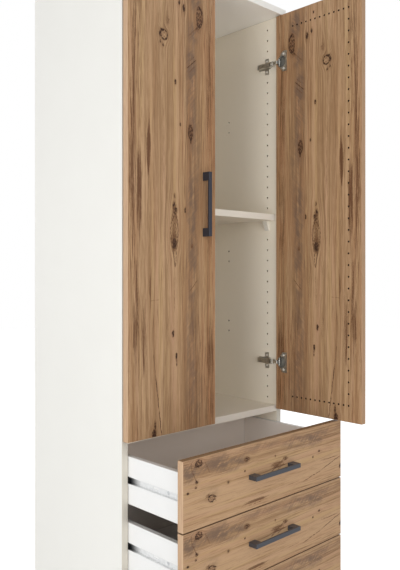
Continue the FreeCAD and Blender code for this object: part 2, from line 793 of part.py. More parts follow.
def drawer_front(label, low):
    body = new_body(label)
    edge = f"({HALF} - front_side_reveal)"
    outline = draw_rectangle(new_sketch(body, "XZ_Plane", FRONT_BACK), f"-{edge}", low, edge,
                             f"{low} + drawer_front_height")
    slab = pad(body, outline, "front_thickness")
    bevel_edges(body, slab, "front_bevel", every_edge)
    return place_pulled(keep(label, body))


def drawer_channel(name, side, level):
    """Outer member of a runner, open towards the side panel, with its access hole and slot."""
    body = new_body(name)
    half = "runner_height / 2"
    profile = draw_polygon(new_sketch(body, "XZ_Plane", f"{FRONT_BACK} + runner_length"), mirrored([
        (RUNNER_WEB, f"{level} - {half}"),
        (SIDE_OUTER, f"{level} - {half}"),
        (SIDE_OUTER, f"{level} - {half} + runner_sheet"),
        (f"{RUNNER_WEB} + runner_sheet", f"{level} - {half} + runner_sheet"),
        (f"{RUNNER_WEB} + runner_sheet", f"{level} + {half} - runner_sheet"),
        (SIDE_OUTER, f"{level} + {half} - runner_sheet"),
        (SIDE_OUTER, f"{level} + {half}"),
        (RUNNER_WEB, f"{level} + {half}"),
    ], side))
    pad(body, profile, "runner_length")
    web = f"{side} * ({RUNNER_WEB} + runner_sheet)"
    hole = draw_flat_sided(new_sketch(body, "YZ_Plane", web), "runner_hole_radius",
                           [(f"{FRONT_BACK} + runner_hole_setback", level)], FITTING_SIDES)
    pocket(body, hole, "runner_sheet", backwards=side < 0)
    slot = draw_rectangle(new_sketch(body, "YZ_Plane", web), f"{FRONT_BACK} + runner_slot_setback",
                          f"{level} - runner_slot_height / 2",
                          f"{FRONT_BACK} + runner_slot_setback + runner_slot_length",
                          f"{level} + runner_slot_height / 2")
    pocket(body, slot, "runner_sheet", backwards=side < 0)
    return body


def cabinet_rail(name, side, level):
    """Inner member of a runner, fixed to the side panel."""
    body = new_body(name)
    half = "rail_height / 2"
    lip = f"{INNER} - rail_depth"
    profile = draw_polygon(new_sketch(body, "XZ_Plane", f"{FRONT} + rail_front + rail_length"), mirrored([
        (INNER, f"{level} - {half}"),
        (INNER, f"{level} + {half}"),
        (lip, f"{level} + {half}"),
        (lip, f"{level} + {half} - runner_sheet"),
        (f"{INNER} - runner_sheet", f"{level} + {half} - runner_sheet"),
        (f"{INNER} - runner_sheet", f"{level} - {half} + runner_sheet"),
        (lip, f"{level} - {half} + runner_sheet"),
        (lip, f"{level} - {half}"),
    ], side))
    pad(body, profile, "rail_length")
    return body


def rail_cap(name, side, level):
    """Plastic cap at the front end of a cabinet rail, inside the drawer's channel."""
    body = new_body(name)
    half = "(runner_height / 2 - runner_sheet - rail_cap_play)"
    nose = f"{RUNNER_WEB} + runner_sheet + rail_cap_play"
    profile = draw_polygon(new_sketch(body, "XZ_Plane", f"{FRONT} + rail_front"), mirrored([
        (INNER, f"{level} - {half}"), (INNER, f"{level} + {half}"),
        (nose, f"{level} + {half}"), (nose, f"{level} - {half}")], side))
    block = pad(body, profile, "rail_front - rail_cap_front")
    tip = number(f"{FRONT} + rail_cap_front") + NEAR
    bevel_edges(body, block, "rail_cap_bevel", lambda point: point.y < tip)
    return body


def ball_cage(name, side, level):
    """Ball cage between the two members; it follows the drawer at half its travel."""
    body = new_body(name)
    half = "cage_height / 2"
    web = f"{RUNNER_WEB} + runner_sheet + cage_web_play"
    lip = f"{web} + cage_depth"
    rear = f"({FRONT} + rail_front + rail_length / 2 + cage_length / 2)"
    profile = draw_polygon(new_sketch(body, "XZ_Plane", rear), mirrored([
        (web, f"{level} - {half}"),
        (lip, f"{level} - {half}"),
        (lip, f"{level} - {half} + cage_sheet"),
        (f"{web} + cage_sheet", f"{level} - {half} + cage_sheet"),
        (f"{web} + cage_sheet", f"{level} + {half} - cage_sheet"),
        (lip, f"{level} + {half} - cage_sheet"),
        (lip, f"{level} + {half}"),
        (web, f"{level} + {half}"),
    ], side))
    pad(body, profile, "cage_length")
    return body


def drawer(index):
    """One drawer box, its front and handle, its channels and its ball cages."""
    word = f"drawer_{index}"
    front_low = f"(plinth_height + front_bottom_reveal + {DRAWERS - index} * {FRONT_STEP})"
    middle = f"({front_low} + drawer_front_height / 2)"
    low = f"({front_low} + drawer_front_height - drawer_side_drop - drawer_side_height)"
    level = f"({low} + drawer_side_height / 2)"
    ledge = f"({low} + drawer_bottom_rise)"

    drawer_front(f"{word}_front", front_low)
    grip = bow_handle(f"{word}_handle", f"({FRONT_BACK} - front_thickness)", "0", middle, upright=False)
    place_pulled(keep(f"{word}_handle", grip))
    for side_word, side in (("left", -1), ("right", 1)):
        drawer_side(f"{word}_{side_word}_side", side, low, level)
    floor_edge = f"({SIDE_INNER} + drawer_bottom_groove - groove_play)"
    bottom = plain_board(f"{word}_bottom", (f"-{floor_edge}", floor_edge), (FRONT_BACK, BOX_REAR),
                         (ledge, f"({ledge} + drawer_bottom_thickness)"))
    back_front = f"({BOX_REAR} - drawer_back_thickness)"
    back = plain_board(f"{word}_back", (f"-{SIDE_INNER}", SIDE_INNER), (back_front, BOX_REAR),
                       (f"({ledge} + drawer_bottom_thickness)", f"({low} + drawer_side_height)"))
    for board, front in ((bottom, FRONT_BACK), (back, back_front)):
        bind(board, Placement__Base__y=f"{front} - drawer_pull")
    channels = [drawer_channel("channel", side, level) for side in (-1, 1)]
    place_pulled(keep(f"{word}_runners", together(f"{word}_runners", channels)))
    cages = [ball_cage("cage", side, level) for side in (-1, 1)]
    place_pulled(keep(f"{word}_ball_cages", together(f"{word}_ball_cages", cages)), "0.5")
    return level


def cabinet_runners(levels):
    rails = [cabinet_rail("rail", side, level) for level in levels for side in (-1, 1)]
    keep("cabinet_rails", together("cabinet_rails", rails))
    caps = [rail_cap("cap", side, level) for level in levels for side in (-1, 1)]
    keep("rail_end_caps", together("rail_end_caps", caps))


# Whole piece of furniture

carcass_boards()
small_fittings()
for door_word, door_side in (("left", -1), ("right", 1)):
    hinges(door_word, door_side, f"{door_word}_door_angle")
    door(door_word, door_side, f"{door_word}_door_angle")
runner_levels = [drawer(index) for index in range(1, DRAWERS + 1)]
cabinet_runners(runner_levels)
doc.recompute()

failed = [item.Label for item in doc.Objects if "Invalid" in item.State or "Error" in item.State]
failed += [label for label, item in nodes.items() if item.Shape.isNull() or not item.Shape.isValid()]
if failed:
    raise RuntimeError("these did not build: " + ", ".join(failed))

os.makedirs("parts", exist_ok=True)
for label, item in nodes.items():
    item.Shape.exportStep(os.path.join("parts", f"{label}.step"))
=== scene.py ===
"""Looks of a two-door chifforobe over three drawers, laid out as a Blender add-on and run as a script."""

import math

import bpy
import numpy as np
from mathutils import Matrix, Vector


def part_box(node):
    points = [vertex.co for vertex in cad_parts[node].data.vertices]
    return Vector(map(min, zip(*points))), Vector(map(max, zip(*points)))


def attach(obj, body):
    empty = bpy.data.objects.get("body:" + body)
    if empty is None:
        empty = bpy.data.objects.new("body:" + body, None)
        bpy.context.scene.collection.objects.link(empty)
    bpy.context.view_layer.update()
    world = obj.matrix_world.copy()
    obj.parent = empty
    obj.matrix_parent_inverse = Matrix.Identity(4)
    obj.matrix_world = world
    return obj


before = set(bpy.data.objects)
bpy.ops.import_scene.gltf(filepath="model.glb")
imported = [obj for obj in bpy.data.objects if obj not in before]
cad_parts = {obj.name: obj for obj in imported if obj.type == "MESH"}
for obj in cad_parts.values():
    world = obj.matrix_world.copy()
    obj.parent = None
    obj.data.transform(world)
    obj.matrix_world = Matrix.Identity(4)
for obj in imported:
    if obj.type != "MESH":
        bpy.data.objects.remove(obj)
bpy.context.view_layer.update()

bl_info = {
    "name": "Chifforobe looks",
    "version": (1, 0, 0),
    "blender": (4, 5, 0),
    "location": "View3D > Sidebar > Chifforobe",
    "description": "Wood-decor fronts, white boards, metal fittings, screws and stage for a chifforobe",
    "category": "Object",
}

# Millimetres in a metre: patterns are laid out in millimetres
MM = 1000.0
AXES = {"X": 0, "Y": 1, "Z": 2}
WHITE = (1.0, 1.0, 1.0, 1.0)
DRAWERS = (1, 2, 3)
# Sides of the cupboard, and which way along X each one faces out
SIDES = {"left": -1, "right": 1}

# Lamps of the stage in metres: place, point that it looks at, width and height
LAMPS = {
    "key": ((-3.1, -0.9, 0.9), (0.0, -0.2, 0.9), (2.0, 2.0)),
    "fill": ((-0.5, -3.1, 0.6), (0.0, 0.0, 1.2), (2.0, 1.2)),
    "rear": ((2.6, 2.4, 2.4), (0.0, 0.0, 1.0), (2.0, 2.0)),
    "front": ((-1.0, -3.0, 1.4), (0.1, 0.0, 1.1), (1.6, 1.6)),
}
# Floor of the stage: half its width in metres, its colour, and its glow to the camera
FLOOR_REACH = 9.0
FLOOR_COLOUR = (0.9, 0.9, 0.89, 1.0)
FLOOR_GLOW = 0.46
# Width of the camera's frame in millimetres
FRAME_WIDTH = 36.0

# Screws of a hinge in metres: cup screws from the door's edge and from the cup's middle, half the height of
# the cup's flange, plate screws from the plate's middle and their place along Y, and the plate's sheet
CUP_SCREW_INSET = 0.0305
CUP_SCREW_STEP = 0.0215
CUP_HALF_HEIGHT = 0.03
PLATE_SCREW_STEP = 0.016
PLATE_SCREW_LINE = -0.168
PLATE_SHEET = 0.002
# Points round a screw's head, and its rings from foot to middle in parts of its radius
HEAD_TURNS = 32
HEAD_RINGS = (1.0, 1.0, 0.96, 0.86, 0.72, 0.58, 0.5, 0.4, 0.3, 0.2, 0.12, 0.03)
# Where the painted shade in the hinge cups and on the runners starts and is full, in millimetres
CUP_SHADE = (3.0, 9.0)
RUNNER_PAINTED_SHADE = (-44.0, 2.0)
# Metals: roughness, metallic share, and sizes of the scratches along X, Y and Z in millimetres
HINGE_METAL = (0.24, 1.0, (6.0, 6.0, 0.4))
SCREW_METAL = (0.3, 0.4, (4.0, 4.0, 4.0))
RUNNER_METAL = (0.34, 0.12, (0.5, 8.0, 0.5))
RUNNER_SCREW_METAL = (0.5, 0.0, (4.0, 4.0, 4.0))
CAM_METAL = (0.4, 0.8, (4.0, 4.0, 4.0))
BOLT_METAL = (0.35, 0.9, (4.0, 0.5, 0.5))
# Sizes of the clouds on boards and coatings, and of the dull clouds on metals, in millimetres
BOARD_CLOUDS = (140.0, 140.0, 140.0)
METAL_CLOUDS = (9.0, 9.0, 9.0)
# Sizes of the fibre in the edge bands along X, Y and Z, and the seam band of a white board, in millimetres
BAND_FIBRE = (12.0, 3.0, 60.0)
BOARD_BAND = 0.8
# Specular level of the decor paper
DECOR_GLOSS = 0.25

# Pilot holes of the doors in millimetres: from the free edge, from the foot, pitches and counts
PILOT_EDGE = 42.0
PILOT_FIRST = 45.0
PILOT_PITCH = 32.0
PILOT_COUNT = 35
PILOT_ROW_PITCH = 16.0
PILOT_ROW_COUNT = 13
# Widths over which the decors of the doors and of the drawer fronts run, in millimetres
DOOR_WIDTH = 297.5
DRAWER_HEIGHT = 158.0
# Colours of a wood decor: each is a setting of the fronts, in small letters
DECOR_COLOURS = ("Light", "Straw", "Rose", "Middle", "Red", "Dark", "Smoke", "Knot")

# Marks of the door decor: across, along, half width, half length, push, core, ring (millimetres)
DOOR_KNOTS = (
    (115, 1006, 12, 13, 10, 0.05, 0.75),
    (101, 1007, 4, 10, 0, 0.7, 0),
    (106, 1018, 6, 4, 0, 0.6, 0),
    (103, 986, 4, 7, 0, 0.55, 0),
    (112, 980, 4, 8, 0, 0.6, 0),
    (128, 1046, 9, 17, 3, 0.3, 0),
    (238, 1082, 11, 27, 8, 0.3, 0.85),
    (231, 1052, 9, 16, 0, 0.28, 0),
    (182, 1091, 5.5, 13, 4, 0.95, 0),
    (166, 1101, 4.5, 9, 3, 0.85, 0),
    (159, 1153, 4, 7, 2, 0.75, 0),
    (153, 894, 4.5, 9, 3, 0.95, 0),
    (170, 789, 3.5, 6, 2, 0.85, 0),
    (206, 773, 8, 19, 5, 0.45, 0.85),
    (207, 750, 3, 8, 0, 0.6, 0),
    (150, 514, 14, 46, 8, 0.22, 0.35),
    (150, 482, 9, 16, 4, 0.9, 0),
    (150, 572, 9, 26, 3, 0.32, 0),
    (147, 581, 4, 7, 0, 0.75, 0),
    (156, 568, 4, 8, 0, 0.7, 0),
    (151, 604, 4, 10, 0, 0.45, 0),
    (187, 569, 3.5, 10, 2, 0.85, 0),
    (211, 478, 7, 9, 2, 0.45, 0),
    (145, 253, 5, 11, 4, 1.0, 0),
    (157, 195, 4.5, 12, 4, 1.0, 0),
    (158, 177, 3, 11, 0, 0.5, 0),
    (83, 8, 9, 15, 5, 1.0, 0),
    (86, 30, 4, 16, 0, 0.6, 0),
)
# Brown streaks of the doors: across, along, half width, half length, strength
DOOR_STREAKS = (
    (14, 660, 11, 250, 1.15),
    (35, 600, 11, 135, 1.3),
    (20, 960, 11, 190, 0.75),
    (34, 1060, 12, 130, 0.5),
    (65, 722, 8, 88, 1.5),
    (70, 372, 5, 66, 1.0),
    (24, 330, 12, 170, 1.0),
    (50, 240, 12, 150, 0.9),
    (274, 930, 16, 270, 0.85),
    (276, 560, 16, 190, 0.75),
    (280, 150, 20, 210, 0.9),
    (3, 160, 6, 160, 0.8),
    (112, 700, 10, 160, 0.4),
    (128, 330, 10, 170, 0.5),
    (180, 330, 12, 160, 0.45),
    (232, 180, 40, 220, 0.55),
)
# Smoky patches of the doors, the same columns
DOOR_SMOKE = (
    (222, 1132, 30, 44, 1.4),
    (214, 1036, 26, 36, 1.2),
    (207, 955, 24, 52, 1.25),
    (210, 850, 24, 110, 0.95),
    (222, 700, 30, 120, 0.6),
    (212, 575, 26, 90, 1.0),
    (214, 430, 24, 120, 0.95),
    (206, 240, 26, 130, 0.75),
    (220, 80, 34, 110, 0.7),
)
# Thin dark lines of the doors: from (across, along) to (across, along), width, depth
DOOR_SPLITS = (
    (80, 214, 88, 146, 1.6, 0.45),
    (87, 156, 99, 60, 2.0, 0.8),
    (98, 68, 108, -8, 2.0, 0.8),
    (190, 936, 228, 968, 2.4, 0.7),
    (196, 926, 224, 950, 2.0, 0.45),
    (200, 956, 222, 976, 2.0, 0.4),
    (194, 1018, 234, 1056, 3.4, 0.35),
    (200, 356, 234, 392, 2.4, 0.45),
    (143, 474, 153, 418, 1.5, 0.75),
    (158, 474, 153, 418, 1.5, 0.7),
    (66, 338, 104, 341, 1.5, 0.3),
    (27, 430, 34, 240, 1.6, 0.6),
    (152, 410, 150, 300, 1.2, 0.4),
)
# Tone over a door's width: place in parts of the width, tone from light 0 to dark 1
DOOR_BANDS = ((0.0, 0.22), (0.05, 0.32), (0.11, 0.3), (0.17, 0.2), (0.22, 0.36), (0.3, 0.3), (0.36, 0.24),
              (0.46, 0.36), (0.52, 0.22), (0.6, 0.34), (0.67, 0.54), (0.75, 0.52), (0.81, 0.34), (0.86, 0.3),
              (0.91, 0.37), (1.0, 0.3))
# Share of red heartwood over a door's width
DOOR_WARMTH = ((0.0, 0.2), (0.08, 0.16), (0.16, 0.0), (0.28, 0.12), (0.37, 0.0), (0.55, 0.12), (0.7, 0.22),
               (0.8, 0.16), (0.87, 0.26), (0.94, 0.38), (1.0, 0.26))
# Share of fine dark threads over a door's width
DOOR_THREADS = ((0.0, 0.5), (0.04, 0.9), (0.13, 0.95), (0.18, 0.35), (0.3, 0.3), (0.5, 0.15), (0.64, 0.3),
                (0.8, 0.35), (0.9, 1.0), (1.0, 0.9))

# Marks of the drawer fronts, whose grain lies flat: the first column is up, the second is along
DRAWER_KNOTS = (
    (145, 48, 8, 11, 6, 0.3, 0.9),
    (140, 40, 4, 8, 0, 0.5, 0),
    (104, 42, 5, 7, 3, 0.75, 0),
    (93, 39, 3.5, 4, 2, 0.9, 0),
    (85, 15, 4, 5, 2, 0.9, 0),
    (58, 88, 8, 11, 5, 0.02, 0.8),
    (50, 91, 3, 4, 0, 0.5, 0),
    (66, 76, 6, 9, 0, 0.3, 0),
    (83, 143, 4, 5, 2, 0.9, 0),
    (124, 207, 6, 10, 4, 0.6, 0.35),
    (97, 200, 3, 3.5, 1, 0.85, 0),
    (111, 313, 3.5, 3.5, 1, 0.7, 0),
    (90, 496, 4, 5, 2, 0.85, 0),
    (79, 469, 3.5, 4, 1, 0.85, 0),
    (31, 594, 8, 6, 3, 0.95, 0),
    (98, 352, 7, 16, 0, 0.45, 0),
)
DRAWER_STREAKS = (
    (16, 240, 8, 56, 1.1),
    (30, 385, 4, 30, 0.7),
    (88, 322, 14, 40, 1.1),
    (6, 90, 5, 70, 0.5),
    (46, 160, 5, 60, 0.5),
    (64, 540, 5, 60, 0.5),
)
DRAWER_SMOKE = (
    (132, 24, 34, 34, 1.25),
    (134, 120, 22, 80, 1.25),
    (118, 165, 16, 60, 0.8),
    (144, 260, 14, 90, 0.7),
    (134, 385, 20, 44, 1.1),
    (128, 470, 24, 70, 1.1),
    (143, 560, 14, 60, 0.5),
    (70, 85, 18, 34, 0.5),
)
DRAWER_SPLITS = (
    (22, 420, 37, 510, 2.0, 0.55),
    (36, 500, 62, 606, 2.0, 0.6),
    (152, 24, 128, 28, 2.6, 0.4),
    (132, 27, 104, 42, 2.6, 0.4),
    (148, 66, 114, 84, 2.8, 0.32),
    (74, 294, 88, 330, 3.0, 0.4),
    (82, 302, 96, 344, 3.0, 0.4),
    (74, 318, 88, 350, 2.6, 0.35),
    (64, 96, 58, 104, 2.4, 0.5),
    (58, 99, 48, 103, 2.0, 0.35),
    (14, 180, 20, 300, 1.6, 0.4),
)
DRAWER_BANDS = ((0.0, 0.26), (0.1, 0.16), (0.2, 0.08), (0.45, 0.06), (0.6, 0.12), (0.78, 0.3), (0.92, 0.36),
                (1.0, 0.26))
DRAWER_THREADS = ((0.0, 0.6), (0.3, 0.45), (0.7, 0.5), (1.0, 0.7))
DRAWER_WARMTH = ((0.0, 0.14), (0.3, 0.06), (0.7, 0.1), (1.0, 0.16))


def linear(red, green, blue):
    """A colour picked in screen values from 0 to 255, as the linear values that Blender's nodes hold."""
    shares = np.array([red, green, blue]) / 255
    return tuple(np.where(shares <= 0.04045, shares / 12.92, ((shares + 0.055) / 1.055) ** 2.4))


def opaque(colour):
    return (*colour, 1.0)


def colour_property(name, description, screen):
    return bpy.props.FloatVectorProperty(name=name, description=description, subtype="COLOR", size=3,
                                         min=0, max=1, default=linear(*screen))


def length_property(name, description, metres):
    return bpy.props.FloatProperty(name=name, description=description, subtype="DISTANCE", unit="LENGTH",
                                   min=0, default=metres, precision=5)


def power_property(name, description, watts):
    return bpy.props.FloatProperty(name=name, description=description, subtype="POWER", unit="POWER",
                                   default=watts)


# What a user would change

class FrontFinish(bpy.types.PropertyGroup):
    light: colour_property("Light wood", "Lightest bands of the wood decor", (186, 152, 117))
    straw: colour_property("Straw", "Yellowish bands of the wood decor", (184, 152, 110))
    rose: colour_property("Rose", "Pinkish bands of the wood decor", (182, 142, 115))
    middle: colour_property("Middle wood", "Middle tone of the wood decor", (150, 118, 85))
    red: colour_property("Red heart", "Reddish bands of the heartwood", (158, 110, 75))
    dark: colour_property("Dark wood", "Darkest bands of the wood decor", (102, 68, 44))
    smoke: colour_property("Smoke", "Grey-brown smoky patches", (112, 89, 73))
    knot: colour_property("Knots", "Knots and splits", (56, 35, 23))
    edge: colour_property("Edge band", "Upright edges of the left door and drawer fronts", (202, 171, 138))
    # Painted shade: the right door's upright edges are a darker copy of the same edge band
    shaded_free_edge: colour_property("Free edge", "Upright edges of the right door", (164, 134, 102))
    # Painted shade: the top and bottom edges of the drawer fronts are a darker brown than the upright ones
    painted_shade_flat_edge: colour_property("Flat edge", "Top and bottom edges of the drawer fronts", (138, 108, 78))
    # Painted shade: the dark colour inside the bores and round the doors' pilot holes
    painted_bore_shade: colour_property("Bores", "Dark of the pilot holes", (44, 24, 10))
    band: length_property("Edge band", "Width of the edge band seen on the face, with its bevel", 0.001)


class BoardFinish(bpy.types.PropertyGroup):
    outside: colour_property("Outside", "White faces outside the carcass", (240, 239, 234))
    # Painted light: the carcass's inner faces and the back panel's lining are a warmer white than the
    # outside, standing in for warm light bounced inside
    inside: colour_property("Inside", "Warm white faces inside the carcass", (245, 236, 219))
    # Painted light: the top board's underside is whiter than its outside, standing in for light from below
    ceiling: colour_property("Ceiling", "Underside of the top board", (252, 249, 243))
    lining: colour_property("Back lining", "Warm white inner face of the back panel", (252, 242, 222))
    # Painted shade: the shelf and fixed boards are a darker warm white than the carcass's inner faces
    shelf: colour_property("Shelves", "Warm white shelf and fixed boards", (232, 223, 208))
    edge: colour_property("Panel edge", "Edge bands of the side panels", (212, 206, 194))
    shelf_edge: colour_property("Shelf edge", "Edge bands of the shelf and fixed boards", (228, 221, 209))
    core: colour_property("Chipboard", "Raw chipboard in holes and grooves", (120, 92, 62))
    rear: colour_property("Hardboard", "Raw rear of the back panel", (172, 136, 98))
    drawer_inside: colour_property("Drawer inside", "Taupe faces inside the drawers", (230, 221, 212))
    # Painted light: the lower drawers' insides are paler than the top drawer's, standing in for light in the
    # gaps between drawers
    lower_inside: colour_property("Lower inside", "Paler faces inside the lower drawers", (248, 241, 234))
    drawer_outside: colour_property("Drawer outside", "White faces outside the drawer boxes", (242, 242, 241))
    drawer_edge: colour_property("Drawer edge", "Edge bands of the drawer boxes", (216, 213, 209))
    skin: length_property("Skin", "Depth of the inner colour in the boards", 0.001)


class FittingFinish(bpy.types.PropertyGroup):
    handle: colour_property("Handles", "Anthracite coating of the bow handles", (60, 62, 72))
    # Painted sheen: the drawers' handles are a paler copy of the door handles' coating
    drawer_handle_sheen: colour_property("Drawer handles", "Paler coating of the drawers' handles", (84, 86, 93))
    nickel: colour_property("Nickel", "Nickel plating of the hinges", (208, 206, 200))
    screw: colour_property("Screws", "Bright plating of the screws", (226, 223, 216))
    zinc: colour_property("Zinc", "Zinc plating of the drawer runners", (236, 237, 237))
    white: colour_property("White plastic", "Shelf supports", (238, 232, 220))
    black: colour_property("Black plastic", "End caps and glides", (30, 30, 31))
    dowel: colour_property("Dowel wood", "Beech dowels", (206, 176, 136))
    hollow: colour_property("Hollow", "Shaded hollows of the hinge cups", (132, 129, 122))
    # Painted shade on the runners' rear part, beside the rails' black end caps
    painted_runner_shade: colour_property("Shadow", "Shadowed rear part of the drawer runners", (34, 35, 37))
    runner_screw: colour_property("Runner screws", "Grey plating of the runners' screws", (206, 208, 210))
    screw_radius: length_property("Screw head", "Radius of the screws' heads", 0.0034)
    screw_rise: length_property("Screw rise", "Height of the screws' heads", 0.0012)
    runner_depth: length_property("Runner depth", "Depth of the runners' channels", 0.0084)
    runner_hole: length_property("Runner hole", "Setback of the runners' screws from the front", 0.06)
    runner_screw_radius: length_property("Runner screw", "Radius of the runner screws' heads", 0.006)


class StageSettings(bpy.types.PropertyGroup):
    camera_place: bpy.props.FloatVectorProperty(name="Camera", description="Place of the camera",
                                                subtype="TRANSLATION", size=3, unit="LENGTH",
                                                default=(-1.2694, -1.4878, 0.9675))
    camera_turn: bpy.props.FloatProperty(name="Camera turn",
                                         description="Turn of the camera from the rear direction",
                                         subtype="ANGLE", unit="ROTATION", default=math.radians(-43.797))
    lens: bpy.props.FloatProperty(name="Lens", description="Focal length on a 36 mm frame, in millimetres",
                                  default=41.83)
    shift: bpy.props.FloatProperty(name="Shift", description="Upward shift of the lens", default=-0.0205)
    sky: bpy.props.FloatProperty(name="Sky", description="Light of the white surroundings", default=0.54)
    key: power_property("Key light", "Power of the soft lamp at the left", 37.0)
    front: power_property("Front light", "Power of the soft lamp beside the camera", 20.0)
    rear: power_property("Rear light", "Power of the soft lamp behind", 26.0)
    fill: power_property("Fill light", "Power of the low soft lamp in front", 9.0)


FINISHES = {"chifforobe_fronts": FrontFinish, "chifforobe_boards": BoardFinish,
            "chifforobe_fittings": FittingFinish, "chifforobe_stage": StageSettings}


# Node trees

class Wiring:
    """Adds nodes to one tree and joins them. A plain value goes straight into the socket."""

    def __init__(self, tree):
        self.tree = tree

    def node(self, kind, inputs=None, **settings):
        made = self.tree.nodes.new(kind)
        count = len(self.tree.nodes)
        made.location = (190 * (count % 14), -240 * (count // 14))
        for key, value in settings.items():
            setattr(made, key, value)
        for key, value in (inputs or {}).items():
            self.join(value, made.inputs[key])
        return made

    def join(self, value, socket):
        if isinstance(value, bpy.types.NodeSocket):
            self.tree.links.new(value, socket)
        else:
            socket.default_value = value

    def math(self, operation, *values, clamp=False):
        made = self.node("ShaderNodeMath", dict(enumerate(values)), operation=operation, use_clamp=clamp)
        return made.outputs[0]

    def plus(self, first, second):
        return self.math("ADD", first, second)

    def minus(self, first, second):
        return self.math("SUBTRACT", first, second)

    def times(self, first, second, clamp=False):
        return self.math("MULTIPLY", first, second, clamp=clamp)

    def times_plus(self, first, second, third):
        """first * second + third"""
        return self.math("MULTIPLY_ADD", first, second, third)

    def vector(self, operation, *values):
        made = self.node("ShaderNodeVectorMath", dict(enumerate(values)), operation=operation)
        return made.outputs["Value" if operation in ("DOT_PRODUCT", "LENGTH") else "Vector"]

    def combine(self, across, along, depth=0.0):
        return self.node("ShaderNodeCombineXYZ", {0: across, 1: along, 2: depth}).outputs[0]

    def separate(self, vector):
        return self.node("ShaderNodeSeparateXYZ", {0: vector}).outputs

    def noise(self, vector, detail=2.0, roughness=0.5):
        made = self.node("ShaderNodeTexNoise", {"Vector": vector, "Scale": 1.0, "Detail": detail,
                                                "Roughness": roughness})
        return made.outputs[0]

    def stretched(self, across, along, wide, long, detail=2.0, roughness=0.5):
        """Noise whose spots are about so wide and so long, in millimetres."""
        place = self.combine(self.math("DIVIDE", across, wide), self.math("DIVIDE", along, long))
        return self.noise(place, detail, roughness)

    def fade(self, value, start, end, low=0.0, high=1.0):
        """A smooth step from low at start to high at end."""
        made = self.node("ShaderNodeMapRange",
                         {"Value": value, "From Min": start, "From Max": end, "To Min": low, "To Max": high},
                         interpolation_type="SMOOTHSTEP")
        return made.outputs[0]

    def ramp(self, value, stops):
        """A value that runs through stops of place and tone."""
        made = self.node("ShaderNodeValToRGB", {"Fac": value})
        elements = made.color_ramp.elements
        while len(elements) < len(stops):
            elements.new(0.5)
        for element, (place, tone) in zip(elements, stops):
            element.position = place
            element.color = (tone, tone, tone, tone)
        return made.outputs["Alpha"]

    def mix(self, share, first, second):
        return self.node("ShaderNodeMix", {0: share, 6: first, 7: second}, data_type="RGBA").outputs[2]

    def effect(self, tree, inputs):
        return self.node("ShaderNodeGroup", inputs, node_tree=tree).outputs


# Labels of the effects' sockets that aren't plain values
VECTOR_LABELS = ("Place", "Centre", "Half Size", "From", "To", "Spread")
COLOUR_LABELS = (*DECOR_COLOURS, "Color")


def new_effect(name, inputs, outputs):
    """A shader node group with named sockets: its tree, its wiring, its inputs and its outputs."""
    tree = bpy.data.node_groups.new(name, "ShaderNodeTree")
    for direction, labels in (("INPUT", inputs), ("OUTPUT", outputs)):
        for label in labels:
            kind = "Vector" if label in VECTOR_LABELS else "Color" if label in COLOUR_LABELS else "Float"
            tree.interface.new_socket(name=label, in_out=direction, socket_type=f"NodeSocket{kind}")
    wiring = Wiring(tree)
    entry = wiring.node("NodeGroupInput").outputs
    result = wiring.node("NodeGroupOutput").inputs
    return tree, wiring, entry, result


EFFECTS = {}


def effect(maker):
    """Each effect is built once, on first use."""
    if maker.__name__ not in EFFECTS:
        EFFECTS[maker.__name__] = maker()
    return EFFECTS[maker.__name__]


def mark_place(w, entry):
    """Offset from the middle of a mark in parts of its half size."""
    return w.vector("DIVIDE", w.vector("SUBTRACT", entry["Place"], entry["Centre"]), entry["Half Size"])


def wood_mark():
    """One oval mark: a dark core, two broken dark rings and a faint halo, and a push that bends the grain."""
    tree, w, entry, result = new_effect(
        "Wood mark", ("Place", "Break", "Shift", "Mark", "Centre", "Half Size", "Push", "Core", "Ring"),
        ("Shift", "Mark"))
    scaled = mark_place(w, entry)
    radius = w.vector("LENGTH", scaled)
    core = w.times(w.fade(radius, 1.0, 0.3), entry["Core"])
    outer = w.fade(w.math("ABSOLUTE", w.minus(radius, 0.9)), 0.3, 0.06)
    inner = w.fade(w.math("ABSOLUTE", w.minus(radius, 0.42)), 0.2, 0.04, 0.0, 0.25)
    ring = w.times(w.plus(outer, inner), w.times(entry["Ring"], entry["Break"]))
    halo = w.times(w.fade(radius, 2.4, 0.6, 0.0, 0.2), w.plus(entry["Core"], entry["Ring"]))
    w.join(w.plus(entry["Mark"], w.plus(halo, w.plus(core, ring))), result["Mark"])
    side = w.separate(scaled)["X"]
    bend = w.times(w.times(side, w.fade(radius, 3.0, 0.6)), entry["Push"])
    w.join(w.plus(entry["Shift"], bend), result["Shift"])
    return tree


def wood_patch():
    """One long soft oval of colour, added to those before it."""
    tree, w, entry, result = new_effect(
        "Wood patch", ("Place", "Patch", "Centre", "Half Size", "Strength"), ("Patch",))
    radius = w.vector("LENGTH", mark_place(w, entry))
    soft = w.times(w.fade(radius, 1.3, 0.2), entry["Strength"])
    w.join(w.plus(entry["Patch"], soft), result["Patch"])
    return tree


def wood_split():
    """One thin dark line between two points, fading to both ends."""
    tree, w, entry, result = new_effect(
        "Wood split", ("Place", "Mark", "From", "To", "Width", "Depth"), ("Mark",))
    run = w.vector("SUBTRACT", entry["To"], entry["From"])
    offset = w.vector("SUBTRACT", entry["Place"], entry["From"])
    travel = w.vector("DOT_PRODUCT", offset, run)
    share = w.math("DIVIDE", travel, w.vector("DOT_PRODUCT", run, run), clamp=True)
    nearest = w.vector("MULTIPLY", run, w.combine(share, share, share))
    away = w.vector("LENGTH", w.vector("SUBTRACT", offset, nearest))
    ends = w.fade(w.times(share, w.minus(1.0, share)), 0.0, 0.16)
    line = w.times(w.fade(w.math("DIVIDE", away, entry["Width"]), 1.0, 0.2), ends)
    w.join(w.plus(entry["Mark"], w.times(line, entry["Depth"])), result["Mark"])
    return tree


